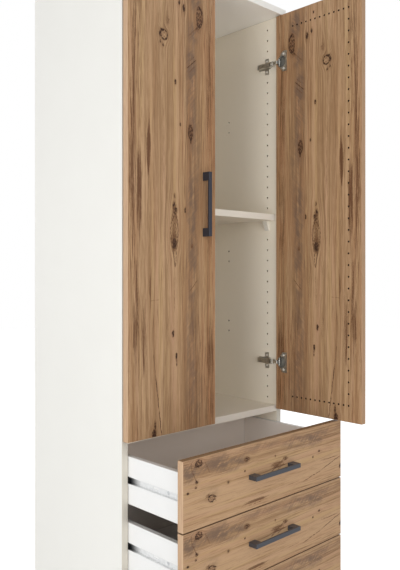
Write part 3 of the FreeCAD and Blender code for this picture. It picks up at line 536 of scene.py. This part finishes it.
def wood_grain():
    """Streaks, lines that come and go, fibres, pores and tints along the board, over a bent width."""
    tree, w, entry, result = new_effect(
        "Wood grain", ("Across", "Along"), ("Tone", "Pores", "Straw Share", "Rose Share"))
    across, along = entry["Across"], entry["Along"]
    tone = w.times(w.minus(w.stretched(across, along, 10.0, 560.0, 3.0, 0.6), 0.5), 1.4)
    lines = w.minus(w.stretched(across, along, 3.4, 170.0, 4.0, 0.7), 0.5)
    strength = w.fade(w.stretched(along, across, 330.0, 40.0, 2.0), 0.36, 0.64, 0.5, 2.1)
    tone = w.times_plus(lines, strength, tone)
    sharp = w.fade(w.stretched(along, across, 120.0, 3.0, 3.0, 0.6), 0.57, 0.68)
    tone = w.times_plus(sharp, w.times(strength, 0.24), tone)
    fibres = w.minus(w.stretched(across, along, 1.1, 40.0, 2.0, 0.6), 0.5)
    w.join(w.times_plus(fibres, 0.7, tone), result["Tone"])
    w.join(w.fade(w.stretched(across, along, 0.7, 16.0, 1.0), 0.62, 0.78), result["Pores"])
    w.join(w.fade(w.stretched(along, across, 700.0, 13.0, 2.0), 0.48, 0.64), result["Straw Share"])
    w.join(w.fade(w.stretched(across, along, 17.0, 900.0, 2.0), 0.5, 0.66), result["Rose Share"])
    return tree


def hole_rims():
    """Dark rims round a door's pilot holes, painted shade: one row along the free edge and one across at each
    end. The nearest hole of a row is number round((place - first) / pitch), held between the first and the
    last."""
    tree, w, entry, result = new_effect("Hole rims", ("From Edge", "Along"), ("Rim",))

    def off(place, first, pitch, count):
        number = w.math("ROUND", w.math("DIVIDE", w.minus(place, first), pitch))
        number = w.math("MINIMUM", w.math("MAXIMUM", number, 0.0), count - 1.0)
        return w.minus(place, w.times_plus(number, pitch, first))

    across, along = entry["From Edge"], entry["Along"]
    column = w.vector("LENGTH", w.combine(off(across, PILOT_EDGE, 1.0, 1),
                                          off(along, PILOT_FIRST, PILOT_PITCH, PILOT_COUNT)))
    row = w.vector("LENGTH", w.combine(off(across, PILOT_EDGE, PILOT_ROW_PITCH, PILOT_ROW_COUNT),
                                       off(along, PILOT_FIRST, PILOT_PITCH * (PILOT_COUNT - 1), 2)))
    w.join(w.fade(w.math("MINIMUM", column, row), 3.1, 2.3), result["Rim"])
    return tree


def board_edge():
    """Masks of the edge band round a board's face and of the seam beside it."""
    tree, w, entry, result = new_effect(
        "Board edge", ("Across", "Along", "Width", "Length", "Band"), ("Edge", "Seam"))
    across, along = entry["Across"], entry["Along"]
    wide = w.math("MINIMUM", across, w.minus(entry["Width"], across))
    long = w.math("MINIMUM", along, w.minus(entry["Length"], along))
    inset = w.math("DIVIDE", w.math("MINIMUM", wide, long), entry["Band"])
    w.join(w.fade(inset, 1.1, 0.9), result["Edge"])
    w.join(w.fade(w.math("ABSOLUTE", w.minus(inset, 1.1)), 0.5, 0.1), result["Seam"])
    return tree


def fine_speckle():
    """Fine pearl of melamine, lacquer or moulded plastic: cloudy and grainy values round one half."""
    tree, w, entry, result = new_effect("Fine speckle", ("Place", "Grain"), ("Cloud", "Grain"))
    w.join(w.noise(w.vector("DIVIDE", entry["Place"], BOARD_CLOUDS), 3.0), result["Cloud"])
    spread = w.combine(entry["Grain"], entry["Grain"], entry["Grain"])
    w.join(w.noise(w.vector("DIVIDE", entry["Place"], spread), 2.0), result["Grain"])
    return tree


def brushed_metal():
    """Long fine scratches along one axis and broad dull clouds."""
    tree, w, entry, result = new_effect("Brushed metal", ("Place", "Spread"), ("Scratch", "Dull"))
    w.join(w.noise(w.vector("DIVIDE", entry["Place"], entry["Spread"]), 2.0), result["Scratch"])
    w.join(w.noise(w.vector("DIVIDE", entry["Place"], METAL_CLOUDS), 2.0), result["Dull"])
    return tree


def decor(name, width, bands, warmth, threads, knots, streaks, smoke, splits):
    """A printed wood decor: bands and red heartwood over the width, grain that bends round knots, threads,
    streaks, smoke and splits."""
    tree, w, entry, result = new_effect(
        name, ("Across", "Along", *DECOR_COLOURS), ("Color", "Roughness", "Height"))
    across, along = entry["Across"], entry["Along"]
    # Places that wander by a few millimetres, so that no mark is a clean oval
    sway = w.times_plus(w.stretched(across, along, 70.0, 330.0), 12.0, -6.0)
    wobble = w.times_plus(w.stretched(across, along, 11.0, 14.0, 3.0, 0.6), 12.0, -6.0)
    wobble_along = w.times_plus(w.stretched(along, across, 12.0, 10.0, 3.0, 0.6), 14.0, -7.0)
    rough_place = w.combine(w.times_plus(wobble, 0.28, across), w.times_plus(wobble_along, 0.4, along))
    swayed = w.combine(w.plus(across, w.times(wobble, 0.4)), along)
    broken = w.fade(w.stretched(across, along, 5.0, 8.0, 2.0), 0.36, 0.56, 0.4, 1.0)
    # Knots darken the wood and bend its grain, splits only darken it
    shift = 0.0
    mark = 0.0
    for middle, up, wide, long, push, core, ring in knots:
        made = w.effect(effect(wood_mark), {
            "Place": rough_place, "Break": broken, "Shift": shift, "Mark": mark, "Centre": (middle, up, 0.0),
            "Half Size": (wide, long, 1.0), "Push": push, "Core": core, "Ring": ring})
        shift, mark = made["Shift"], made["Mark"]
    for middle, up, next_middle, next_up, wide, depth in splits:
        mark = w.effect(effect(wood_split), {
            "Place": swayed, "Mark": mark, "From": (middle, up, 0.0), "To": (next_middle, next_up, 0.0),
            "Width": wide, "Depth": depth})["Mark"]
    # Streaks and smoke are soft patches that add up
    chains = []
    for table in (streaks, smoke):
        patch = 0.0
        for middle, up, wide, long, strength in table:
            patch = w.effect(effect(wood_patch), {
                "Place": swayed, "Patch": patch, "Centre": (middle, up, 0.0), "Half Size": (wide, long, 1.0),
                "Strength": strength})["Patch"]
        chains.append(patch)
    streak, haze = chains
    # Tone from light to dark: bands, grain, threads and torn streaks
    bent = w.plus(across, w.minus(sway, shift))
    grain = w.effect(effect(wood_grain), {"Across": bent, "Along": along})
    share = w.math("DIVIDE", w.times_plus(sway, 0.5, across), width, clamp=True)
    tone = w.plus(w.ramp(share, bands), grain["Tone"])
    thread = w.fade(w.stretched(along, bent, 75.0, 1.7, 3.0, 0.65), 0.53, 0.64)
    tone = w.times_plus(w.times(thread, w.ramp(share, threads)), 0.5, tone)
    ragged = w.minus(w.stretched(bent, along, 2.0, 150.0, 5.0, 0.72), 0.5)
    torn = w.fade(w.times_plus(ragged, 3.2, w.times(streak, 0.6)), 0.46, 0.6)
    tone = w.times_plus(w.times(torn, w.fade(streak, 0.0, 0.35)), 0.76, tone)
    # Colours by tone, then smoke, pores and marks over them
    colour = w.mix(w.times(grain["Straw Share"], 0.8), entry["Light"], entry["Straw"])
    colour = w.mix(w.times(grain["Rose Share"], 0.45), colour, entry["Rose"])
    colour = w.mix(w.fade(tone, 0.05, 0.55), colour, entry["Middle"])
    glow = w.fade(w.stretched(along, bent, 230.0, 16.0, 3.0), 0.38, 0.62, 0.35, 1.7)
    colour = w.mix(w.times(w.ramp(share, warmth), glow, clamp=True), colour, entry["Red"])
    colour = w.mix(w.fade(tone, 0.5, 1.1), colour, entry["Dark"])
    blotch = w.stretched(bent, along, 15.0, 60.0, 4.0, 0.65)
    rising = w.plus(across, along)
    strokes = w.stretched(w.minus(across, along), rising, 7.0, 60.0, 3.0, 0.6)
    cloud = w.times_plus(strokes, 0.36, w.times(blotch, 0.64))
    haze = w.times(haze, w.fade(cloud, 0.36, 0.62), clamp=True)
    colour = w.mix(w.times(haze, 0.88), colour, entry["Smoke"])
    colour = w.mix(w.times(grain["Pores"], 0.2), colour, entry["Dark"])
    flecks = w.fade(w.stretched(across, along, 2.4, 7.0, 3.0), 0.32, 0.6, 0.3, 1.15)
    depth = w.times(mark, flecks, clamp=True)
    colour = w.mix(w.fade(depth, 0.0, 0.55, 0.0, 0.85), colour, entry["Dark"])
    colour = w.mix(w.fade(depth, 0.4, 0.9), colour, entry["Knot"])
    w.join(colour, result["Color"])
    relief = w.stretched(across, along, 0.9, 40.0, 2.0)
    dull = w.times_plus(depth, 0.12, 0.42)
    w.join(w.times_plus(relief, 0.18, dull), result["Roughness"])
    w.join(relief, result["Height"])
    return tree


def door_decor():
    return decor("Door decor", DOOR_WIDTH, DOOR_BANDS, DOOR_WARMTH, DOOR_THREADS, DOOR_KNOTS, DOOR_STREAKS,
                 DOOR_SMOKE, DOOR_SPLITS)


def drawer_decor():
    return decor("Drawer decor", DRAWER_HEIGHT, DRAWER_BANDS, DRAWER_WARMTH, DRAWER_THREADS, DRAWER_KNOTS,
                 DRAWER_STREAKS, DRAWER_SMOKE, DRAWER_SPLITS)


# Materials

def new_material(name):
    """A material with one Principled shader, its wiring and the shader's inputs."""
    material = bpy.data.materials.new(name)
    material.use_nodes = True
    tree = material.node_tree
    tree.nodes.clear()
    w = Wiring(tree)
    shader = w.node("ShaderNodeBsdfPrincipled")
    output = w.node("ShaderNodeOutputMaterial")
    tree.links.new(shader.outputs[0], output.inputs[0])
    return material, w, shader.inputs


def place_from(w, corner):
    """Object coordinates in millimetres from a corner of the piece."""
    coordinates = w.node("ShaderNodeTexCoord").outputs["Object"]
    mapping = w.node("ShaderNodeMapping", {"Vector": coordinates, "Location": tuple(-MM * c for c in corner),
                                           "Scale": (MM, MM, MM)})
    return mapping.outputs[0]


def bump(w, height, depth, shader):
    """Relief of so many millimetres."""
    made = w.node("ShaderNodeBump", {"Strength": 1.0, "Distance": depth / MM, "Height": height})
    w.join(made.outputs[0], shader["Normal"])


def dress(node, material):
    """Give a CAD node its material."""
    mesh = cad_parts[node].data
    mesh.materials.clear()
    mesh.materials.append(material)


def spans(node):
    """Lowest corner of a CAD node, and its size along each axis in millimetres."""
    low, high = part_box(node)
    return low, {axis: (high[number] - low[number]) * MM for axis, number in AXES.items()}


def face_inset(w, place, size, axis):
    """Distance from the nearer of the two faces across an axis."""
    return w.math("MINIMUM", place[axis], w.minus(size[axis], place[axis]))


def edge_masks(w, place, size, axes, band):
    """Masks of the edge band and its seam on a board whose face lies along two axes."""
    across, along = axes
    return w.effect(effect(board_edge), {
        "Across": place[across], "Along": place[along], "Width": size[across], "Length": size[along],
        "Band": band})


def front_material(node, across_axis, along_axis, decor_maker, finish, edge_colour, pilots=None):
    """Wood decor on the faces, plain edge bands round them, painted shade in the bores and round the pilot
    holes.
    pilots: whether the free edge and the inner face lie at the far end of their axes."""
    corner, size = spans(node)
    thin_axis = next(axis for axis in AXES if axis not in (across_axis, along_axis))
    material, w, shader = new_material(f"{node} decor")
    where = place_from(w, corner)
    place = w.separate(where)
    across, along, under = place[across_axis], place[along_axis], place[thin_axis]
    colours = {label: opaque(getattr(finish, label.lower())) for label in DECOR_COLOURS}
    wood = w.effect(effect(decor_maker), {"Across": across, "Along": along, **colours})
    edge = edge_masks(w, place, size, (across_axis, along_axis), finish.band * MM)
    fibre = w.noise(w.vector("DIVIDE", where, BAND_FIBRE), 4.0)
    band = w.mix(w.fade(fibre, 0.3, 0.7, 0.0, 0.6), opaque(edge_colour), colours["Rose"])
    # Top and bottom edges of a drawer front take a darker brown: painted shade
    if across_axis == "Z":
        rise = face_inset(w, place, size, "Z")
        band = w.mix(w.fade(rise, 0.6, 0.2), band, opaque(finish.painted_shade_flat_edge))
    colour = w.mix(edge["Edge"], wood["Color"], band)
    colour = w.mix(w.times(edge["Seam"], 0.25), colour, colours["Dark"])
    # Inside the bores, darker than the chipboard: painted shade
    inset = face_inset(w, place, size, thin_axis)
    painted_bore_shade = w.times(w.fade(inset, 0.2, 0.5), w.minus(1.0, edge["Edge"]))
    colour = w.mix(painted_bore_shade, colour, opaque(finish.painted_bore_shade))
    if pilots is not None:
        far_edge, far_face = pilots
        from_edge = w.minus(size[across_axis], across) if far_edge else across
        from_face = w.minus(size[thin_axis], under) if far_face else under
        rim = w.effect(effect(hole_rims), {"From Edge": from_edge, "Along": along})["Rim"]
        colour = w.mix(w.times(rim, w.fade(from_face, 1.0, 0.5)), colour, opaque(finish.painted_bore_shade))
    w.join(colour, shader["Base Color"])
    w.join(wood["Roughness"], shader["Roughness"])
    shader["Specular IOR Level"].default_value = DECOR_GLOSS
    bump(w, wood["Height"], 0.06, shader)
    return material


class CHIFFOROBE_OT_wood_fronts(bpy.types.Operator):
    """Give the doors and drawer fronts their wood decor and edge bands"""
    bl_idname = "chifforobe.wood_fronts"
    bl_label = "Wood fronts"

    def execute(self, context):
        finish = context.scene.chifforobe_fronts
        # The right door's edge band takes the darker free-edge colour: painted shade
        for node, axis, edge, pilots in (("left_door", "X", finish.edge, (True, True)),
                                         ("right_door", "Y", finish.shaded_free_edge, (False, False))):
            dress(node, front_material(node, axis, "Z", door_decor, finish, edge, pilots))
        for number in DRAWERS:
            node = f"drawer_{number}_front"
            dress(node, front_material(node, "Z", "X", drawer_decor, finish, finish.edge))
        return {"FINISHED"}


def board_material(node, thin_axis, faces, finish, inner=None, band=None, raw=True):
    """White board with a pearl and edge seams. faces: outer and inner colour. inner: axis, place in metres
    and sign of the side that faces in. band: colour of the edges. raw: holes and grooves show the core."""
    corner, size = spans(node)
    face_axes = [axis for axis in AXES if axis != thin_axis]
    material, w, shader = new_material(f"{node} board")
    where = place_from(w, corner)
    place = w.separate(where)
    speckle = w.effect(effect(fine_speckle), {"Place": where, "Grain": 0.7})
    colour, inside = (opaque(face) for face in faces)
    pearl = w.fade(speckle["Cloud"], 0.25, 0.75, 0.0, 0.016)
    if inner is not None:
        axis, level, sign = inner
        from_corner = (level - corner[AXES[axis]]) * MM
        side = w.times(w.minus(place[axis], from_corner), sign)
        colour = w.mix(w.fade(side, -0.3, 0.3), colour, inside)
    colour = w.mix(pearl, colour, opaque(finish.core))
    edge = edge_masks(w, place, size, face_axes, BOARD_BAND)
    colour = w.mix(w.times(edge["Seam"], 0.1), colour, opaque(finish.core))
    if band is not None:
        colour = w.mix(edge["Edge"], colour, opaque(band))
    if raw:
        inset = face_inset(w, place, size, thin_axis)
        hole = w.times(w.fade(inset, 0.8, 1.0), w.minus(1.0, edge["Edge"]))
        colour = w.mix(hole, colour, opaque(finish.core))
    w.join(colour, shader["Base Color"])
    w.join(w.times_plus(speckle["Grain"], 0.2, 0.34), shader["Roughness"])
    bump(w, speckle["Grain"], 0.02, shader)
    return material


def hardboard_material(finish):
    """Thin back panel: a warm white inside that is painted bounce light, raw brown fibre board behind."""
    material, w, shader = new_material("back panel hardboard")
    where = place_from(w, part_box("back_panel")[0])
    place = w.separate(where)
    speckle = w.effect(effect(fine_speckle), {"Place": where, "Grain": 1.6})
    screen = w.times(w.math("SINE", w.times(place["X"], 2.1)), w.math("SINE", w.times(place["Z"], 2.1)))
    felt = w.times_plus(speckle["Cloud"], 0.6, speckle["Grain"])
    felt = w.times_plus(screen, 0.12, felt)
    fibre = w.mix(w.fade(felt, 0.5, 1.1, 0.0, 0.6), opaque(finish.rear), opaque(finish.core))
    front = w.mix(w.fade(speckle["Cloud"], 0.25, 0.75, 0.0, 0.02), opaque(finish.lining), opaque(finish.core))
    w.join(w.mix(w.fade(place["Y"], 0.2, 0.6), front, fibre), shader["Base Color"])
    dull = w.fade(place["Y"], 0.2, 0.6, 0.36, 0.6)
    w.join(w.times_plus(speckle["Grain"], 0.25, dull), shader["Roughness"])
    bump(w, speckle["Grain"], 0.05, shader)
    return material


def inner_side(node, axis, sign, finish):
    """Axis, place and sign of the side of a board that faces in, from just under its inner face."""
    low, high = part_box(node)
    level = high[AXES[axis]] - finish.skin if sign > 0 else low[AXES[axis]] + finish.skin
    return axis, level, sign


class CHIFFOROBE_OT_white_boards(bpy.types.Operator):
    """Give the carcass its white melamine boards and its hardboard back"""
    bl_idname = "chifforobe.white_boards"
    bl_label = "White boards"

    def execute(self, context):
        finish = context.scene.chifforobe_boards
        # The side panels' inner faces take the warmer white: painted bounce light
        faces = (finish.outside, finish.inside)
        for side, outward in SIDES.items():
            node = f"{side}_side_panel"
            inner = inner_side(node, "X", -outward, finish)
            dress(node, board_material(node, "X", faces, finish, inner, finish.edge))
        # The top board's underside takes the ceiling white: painted light from below
        top_faces = (finish.outside, finish.ceiling)
        inner = inner_side("top_board", "Z", -1, finish)
        dress("top_board", board_material("top_board", "Z", top_faces, finish, inner))
        # The shelf and fixed boards take the darker shelf colour on both faces: painted shade
        shelf_faces = (finish.shelf, finish.shelf)
        for node in ("bottom_board", "divider_board", "adjustable_shelf"):
            dress(node, board_material(node, "Z", shelf_faces, finish, band=finish.shelf_edge))
        dress("plinth_board", board_material("plinth_board", "Y", faces, finish))
        dress("back_panel", hardboard_material(finish))
        return {"FINISHED"}


class CHIFFOROBE_OT_drawer_boxes(bpy.types.Operator):
    """Give the drawer boxes white outer and taupe inner faces"""
    bl_idname = "chifforobe.drawer_boxes"
    bl_label = "Drawer boxes"

    def execute(self, context):
        finish = context.scene.chifforobe_boards
        inward = {"left_side": ("X", 1), "right_side": ("X", -1), "back": ("Y", -1), "bottom": ("Z", 1)}
        for number in DRAWERS:
            # Drawers 2 and 3 take the paler inside: painted light
            faces = (finish.drawer_outside, finish.drawer_inside if number == 1 else finish.lower_inside)
            for piece, (axis, sign) in inward.items():
                node = f"drawer_{number}_{piece}"
                inner = inner_side(node, axis, sign, finish)
                dress(node, board_material(node, axis, faces, finish, inner, finish.drawer_edge, raw=False))
        return {"FINISHED"}


def lacquer_material(name, colour, roughness, metallic, grain=0.35, relief=0.012):
    """Coated or moulded surface: one colour with clouds, a fine grain in the gloss and a slight relief."""
    material, w, shader = new_material(name)
    speckle = w.effect(effect(fine_speckle), {"Place": place_from(w, (0, 0, 0)), "Grain": grain})
    darker = opaque(tuple(0.78 * share for share in colour))
    w.join(w.mix(w.fade(speckle["Grain"], 0.3, 0.75), opaque(colour), darker), shader["Base Color"])
    w.join(w.times_plus(speckle["Cloud"], 0.12, roughness), shader["Roughness"])
    shader["Metallic"].default_value = metallic
    bump(w, speckle["Grain"], relief, shader)
    return material


def metal_material(name, colour, metal, shade=None):
    """Plated sheet metal: fine scratches along one axis, dull clouds. shade: painted shade, given by axis,
    place in metres, sign, the colour painted past that place, and how far past it that starts and is full, in
    millimetres."""
    roughness, metallic, scratches = metal
    material, w, shader = new_material(name)
    where = place_from(w, (0, 0, 0))
    brushed = w.effect(effect(brushed_metal), {"Place": where, "Spread": scratches})
    darker = opaque(tuple(0.9 * share for share in colour))
    plate = w.mix(w.fade(brushed["Dull"], 0.35, 0.75), opaque(colour), darker)
    shine = metallic
    if shade is not None:
        axis, level, sign, shade_colour, reach = shade
        past = w.times(w.minus(w.separate(where)[axis], level * MM), sign)
        deep = w.fade(past, *reach)
        plate = w.mix(deep, plate, opaque(shade_colour))
        shine = w.times(w.minus(1.0, w.times(deep, 0.6)), metallic)
    w.join(plate, shader["Base Color"])
    w.join(w.times_plus(brushed["Scratch"], 0.22, roughness), shader["Roughness"])
    w.join(shine, shader["Metallic"])
    bump(w, brushed["Scratch"], 0.008, shader)
    return material


class CHIFFOROBE_OT_handles(bpy.types.Operator):
    """Give the bow handles their anthracite coating"""
    bl_idname = "chifforobe.handles"
    bl_label = "Handles"

    def execute(self, context):
        finish = context.scene.chifforobe_fittings
        coating = lacquer_material("anthracite coating", finish.handle, roughness=0.3, metallic=0.5)
        for side in SIDES:
            dress(f"{side}_door_handle", coating)
        # The drawers' handles get the paler coating: painted sheen
        painted_sheen = lacquer_material("worn anthracite coating", finish.drawer_handle_sheen, roughness=0.3, metallic=0.5)
        for number in DRAWERS:
            dress(f"drawer_{number}_handle", painted_sheen)
        return {"FINISHED"}


# Small pieces worked out as surfaces

def lay_surface(name, points, body, material):
    """One mesh from closed grids, riding on a body. points: copies x rows x columns x 3, where rows run from
    pole to pole and columns go round."""
    copies, rows, columns, _ = points.shape
    row = np.arange(rows - 1)[:, None] * columns
    column = np.arange(columns)[None, :]
    onward = (column + 1) % columns
    quads = np.stack([row + column, row + onward, row + columns + onward, row + columns + column], -1)
    quads = quads.reshape(-1, 4)
    first = np.arange(columns)[::-1][None, :]
    last = (np.arange(columns) + (rows - 1) * columns)[None, :]
    start = (np.arange(copies) * rows * columns)[:, None, None]
    faces = (start + quads[None]).reshape(-1, 4).tolist()
    faces += (start + first[None]).reshape(-1, columns).tolist()
    faces += (start + last[None]).reshape(-1, columns).tolist()
    mesh = bpy.data.meshes.new(name)
    mesh.from_pydata(points.reshape(-1, 3).tolist(), [], faces)
    mesh.update()
    mesh.materials.append(material)
    piece = bpy.data.objects.new(name, mesh)
    bpy.context.scene.collection.objects.link(piece)
    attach(piece, body)


def screw_heads(places, normal, radius, rise):
    """Domed heads with a cross recess. With r in parts of the radius, a head stands 0.3 + 0.7 * (1 - 0.6 r^2)
    times its rise above the sheet, less 0.75 times its rise in a narrow cross near the middle. The first ring
    lies 0.4 times the rise under the sheet."""
    turns = np.linspace(0, math.tau, HEAD_TURNS, endpoint=False)
    radii = np.array(HEAD_RINGS)
    r, t = np.meshgrid(radii, turns, indexing="ij")
    u, v = r * np.cos(t), r * np.sin(t)
    near = np.clip((0.62 - r) / 0.12, 0, 1)
    cross = np.clip((0.17 - np.minimum(np.abs(u), np.abs(v))) / 0.06, 0, 1)
    lift = 0.3 + 0.7 * (1 - 0.6 * r * r) - 0.75 * near * cross
    lift[0] = -0.4
    normal = np.array(normal, float)
    first = np.cross(normal, (0, 0, 1.0))
    second = np.cross(normal, first)
    head = radius * (u[..., None] * first + v[..., None] * second) + rise * lift[..., None] * normal
    return np.array(places)[:, None, None, :] + head[None]


def screw_levels(middles, step):
    """Heights one step below and one step above each middle."""
    return [middle + way * step for middle in middles for way in (-1, 1)]


class CHIFFOROBE_OT_hinges(bpy.types.Operator):
    """Give the hinges their nickel plating and add their screws"""
    bl_idname = "chifforobe.hinges"
    bl_label = "Hinges"

    def execute(self, context):
        finish = context.scene.chifforobe_fittings
        radius, rise = finish.screw_radius, finish.screw_rise
        nickel = metal_material("nickel plate", finish.nickel, HINGE_METAL)
        bright = metal_material("screw plate", finish.screw, SCREW_METAL)
        for side, outward in SIDES.items():
            for piece in ("plates", "arms", "links"):
                dress(f"{side}_hinge_{piece}", nickel)
            low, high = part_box(f"{side}_hinge_cups")
            door_low, door_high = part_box(f"{side}_door")
            panel_low, panel_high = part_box(f"{side}_side_panel")
            middles = (low.z + CUP_HALF_HEIGHT, high.z - CUP_HALF_HEIGHT)
            cup_levels = screw_levels(middles, CUP_SCREW_STEP)
            # At rest the left door is shut and its inner face looks along Y, the right door stands open
            if side == "left":
                flange = [(door_low.x + CUP_SCREW_INSET, high.y, level) for level in cup_levels]
                out = (0, 1, 0)
                shade = ("Y", high.y, -1, finish.hollow, CUP_SHADE)
                wall = panel_high.x + PLATE_SHEET
            else:
                flange = [(low.x, door_high.y - CUP_SCREW_INSET, level) for level in cup_levels]
                out = (-1, 0, 0)
                shade = ("X", low.x, 1, finish.hollow, CUP_SHADE)
                wall = panel_low.x - PLATE_SHEET
            # The cup's hollow behind its flange is darkened and less metallic: painted shade
            cup = metal_material(f"{side} cup plate", finish.nickel, HINGE_METAL, shade)
            dress(f"{side}_hinge_cups", cup)
            lay_surface(f"{side}_cup_screws", screw_heads(flange, out, radius, rise), f"{side}_door",
                        bright)
            wings = [(wall, PLATE_SCREW_LINE, level) for level in screw_levels(middles, PLATE_SCREW_STEP)]
            lay_surface(f"{side}_plate_screws", screw_heads(wings, (-outward, 0, 0), radius, rise), "carcass",
                        bright)
        return {"FINISHED"}


class CHIFFOROBE_OT_runners(bpy.types.Operator):
    """Give the drawer runners their zinc plating, their screws and the rails their black end caps"""
    bl_idname = "chifforobe.runners"
    bl_label = "Drawer runners"

    def execute(self, context):
        finish = context.scene.chifforobe_fittings
        zinc = metal_material("zinc plate", finish.zinc, RUNNER_METAL)
        dress("cabinet_rails", zinc)
        grey = metal_material("runner screw plate", finish.runner_screw, RUNNER_SCREW_METAL)
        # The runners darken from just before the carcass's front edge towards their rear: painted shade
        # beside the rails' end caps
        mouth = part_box("left_side_panel")[0].y
        painted_shade = metal_material("greased zinc plate", finish.zinc, RUNNER_METAL,
                                 ("Y", mouth, 1, finish.painted_runner_shade, RUNNER_PAINTED_SHADE))
        for number in DRAWERS:
            dress(f"drawer_{number}_runners", painted_shade)
            dress(f"drawer_{number}_ball_cages", zinc)
            low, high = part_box(f"drawer_{number}_runners")
            level = (low.z + high.z) / 2
            for (side, outward), seat in zip(SIDES.items(), (low.x, high.x)):
                place = [(seat - outward * finish.runner_depth, low.y + finish.runner_hole, level)]
                head = screw_heads(place, (outward, 0, 0), finish.runner_screw_radius, finish.screw_rise)
                lay_surface(f"drawer_{number}_{side}_runner_screw", head, f"drawer_{number}",
                            grey)
        dress("rail_end_caps", lacquer_material("black plastic", finish.black, roughness=0.4, metallic=0.0))
        return {"FINISHED"}


class CHIFFOROBE_OT_small_fittings(bpy.types.Operator):
    """Give the shelf supports, glides, dowels, cams and bolts their finishes"""
    bl_idname = "chifforobe.small_fittings"
    bl_label = "Small fittings"

    def execute(self, context):
        finish = context.scene.chifforobe_fittings
        dress("shelf_supports", lacquer_material("white plastic", finish.white, roughness=0.34, metallic=0.0))
        dress("floor_glides", lacquer_material("glide plastic", finish.black, roughness=0.42, metallic=0.0))
        dress("top_dowels", lacquer_material("dowel wood", finish.dowel, roughness=0.6, metallic=0.0,
                                             grain=1.2, relief=0.05))
        dress("cam_locks", metal_material("cam zinc", finish.zinc, CAM_METAL))
        dress("cam_bolts", metal_material("bolt zinc", finish.zinc, BOLT_METAL))
        return {"FINISHED"}


def white_world(strength):
    """White to the camera and in gloss and glass; the light that it gives is the strength."""
    world = bpy.data.worlds.new("white surroundings")
    bpy.context.scene.world = world
    world.use_nodes = True
    tree = world.node_tree
    tree.nodes.clear()
    w = Wiring(tree)
    path = w.node("ShaderNodeLightPath").outputs
    mirrored = w.math("MAXIMUM", path["Is Glossy Ray"], path["Is Transmission Ray"])
    seen = w.math("MAXIMUM", path["Is Camera Ray"], mirrored)
    light = w.times_plus(w.minus(1.0, strength), seen, strength)
    background = w.node("ShaderNodeBackground", {"Color": WHITE, "Strength": light})
    w.node("ShaderNodeOutputWorld", {"Surface": background.outputs[0]})


def white_floor():
    """Broad flat floor, white to the camera where no shadow falls."""
    reach = FLOOR_REACH * np.array([(-1, -1, 0), (1, -1, 0), (1, 1, 0), (-1, 1, 0)])
    mesh = bpy.data.meshes.new("floor")
    mesh.from_pydata(reach.tolist(), [], [(0, 1, 2, 3)])
    floor = bpy.data.objects.new("floor", mesh)
    bpy.context.scene.collection.objects.link(floor)
    material, w, shader = new_material("white floor")
    path = w.node("ShaderNodeLightPath").outputs
    w.join(w.mix(path["Is Camera Ray"], FLOOR_COLOUR, WHITE), shader["Base Color"])
    w.join(w.times(path["Is Camera Ray"], FLOOR_GLOW), shader["Emission Strength"])
    shader["Emission Color"].default_value = WHITE
    shader["Roughness"].default_value = 0.9
    mesh.materials.append(material)


def soft_lamp(name, place, target, size, power):
    """A broad soft lamp that looks at a point."""
    data = bpy.data.lights.new(name, "AREA")
    data.shape = "RECTANGLE"
    data.size, data.size_y = size
    data.energy = power
    lamp = bpy.data.objects.new(name, data)
    bpy.context.scene.collection.objects.link(lamp)
    aim = np.array(target, float) - np.array(place, float)
    flat = math.hypot(aim[0], aim[1])
    lamp.location = place
    lamp.rotation_euler = (math.atan2(flat, -aim[2]), 0.0, math.atan2(-aim[0], aim[1]))


class CHIFFOROBE_OT_stage(bpy.types.Operator):
    """Set the white surroundings, the floor, the soft lamps and the camera"""
    bl_idname = "chifforobe.stage"
    bl_label = "Stage"

    def execute(self, context):
        scene = context.scene
        settings = scene.chifforobe_stage
        scene.view_settings.view_transform = "Standard"
        white_world(settings.sky)
        white_floor()
        for name, (place, target, size) in LAMPS.items():
            soft_lamp(f"{name} lamp", place, target, size, getattr(settings, name))
        data = bpy.data.cameras.new("photo camera")
        data.lens = settings.lens
        data.sensor_width = FRAME_WIDTH
        data.shift_y = settings.shift
        camera = bpy.data.objects.new("photo camera", data)
        scene.collection.objects.link(camera)
        camera.location = settings.camera_place
        camera.rotation_euler = (math.radians(90.0), 0.0, settings.camera_turn)
        scene.camera = camera
        return {"FINISHED"}


class CHIFFOROBE_PT_looks(bpy.types.Panel):
    """Finishes and stage of the chifforobe"""
    bl_idname = "CHIFFOROBE_PT_looks"
    bl_label = "Chifforobe"
    bl_space_type = "VIEW_3D"
    bl_region_type = "UI"
    bl_category = "Chifforobe"

    def draw(self, context):
        for name, group in FINISHES.items():
            box = self.layout.box()
            for key in group.__annotations__:
                box.prop(getattr(context.scene, name), key)
        for operator in OPERATORS:
            self.layout.operator(operator.bl_idname)


OPERATORS = (CHIFFOROBE_OT_wood_fronts, CHIFFOROBE_OT_white_boards, CHIFFOROBE_OT_drawer_boxes,
             CHIFFOROBE_OT_handles, CHIFFOROBE_OT_hinges, CHIFFOROBE_OT_runners, CHIFFOROBE_OT_small_fittings,
             CHIFFOROBE_OT_stage)


def register():
    for name, group in FINISHES.items():
        bpy.utils.register_class(group)
        setattr(bpy.types.Scene, name, bpy.props.PointerProperty(type=group))
    for item in (*OPERATORS, CHIFFOROBE_PT_looks):
        bpy.utils.register_class(item)


def unregister():
    for item in reversed((*OPERATORS, CHIFFOROBE_PT_looks)):
        bpy.utils.unregister_class(item)
    for name, group in FINISHES.items():
        delattr(bpy.types.Scene, name)
        bpy.utils.unregister_class(group)


def main():
    register()
    bpy.ops.chifforobe.wood_fronts()
    bpy.ops.chifforobe.white_boards()
    bpy.ops.chifforobe.drawer_boxes()
    bpy.ops.chifforobe.handles()
    bpy.ops.chifforobe.hinges()
    bpy.ops.chifforobe.runners()
    bpy.ops.chifforobe.small_fittings()
    bpy.ops.chifforobe.stage()


if __name__ == "__main__":
    main()
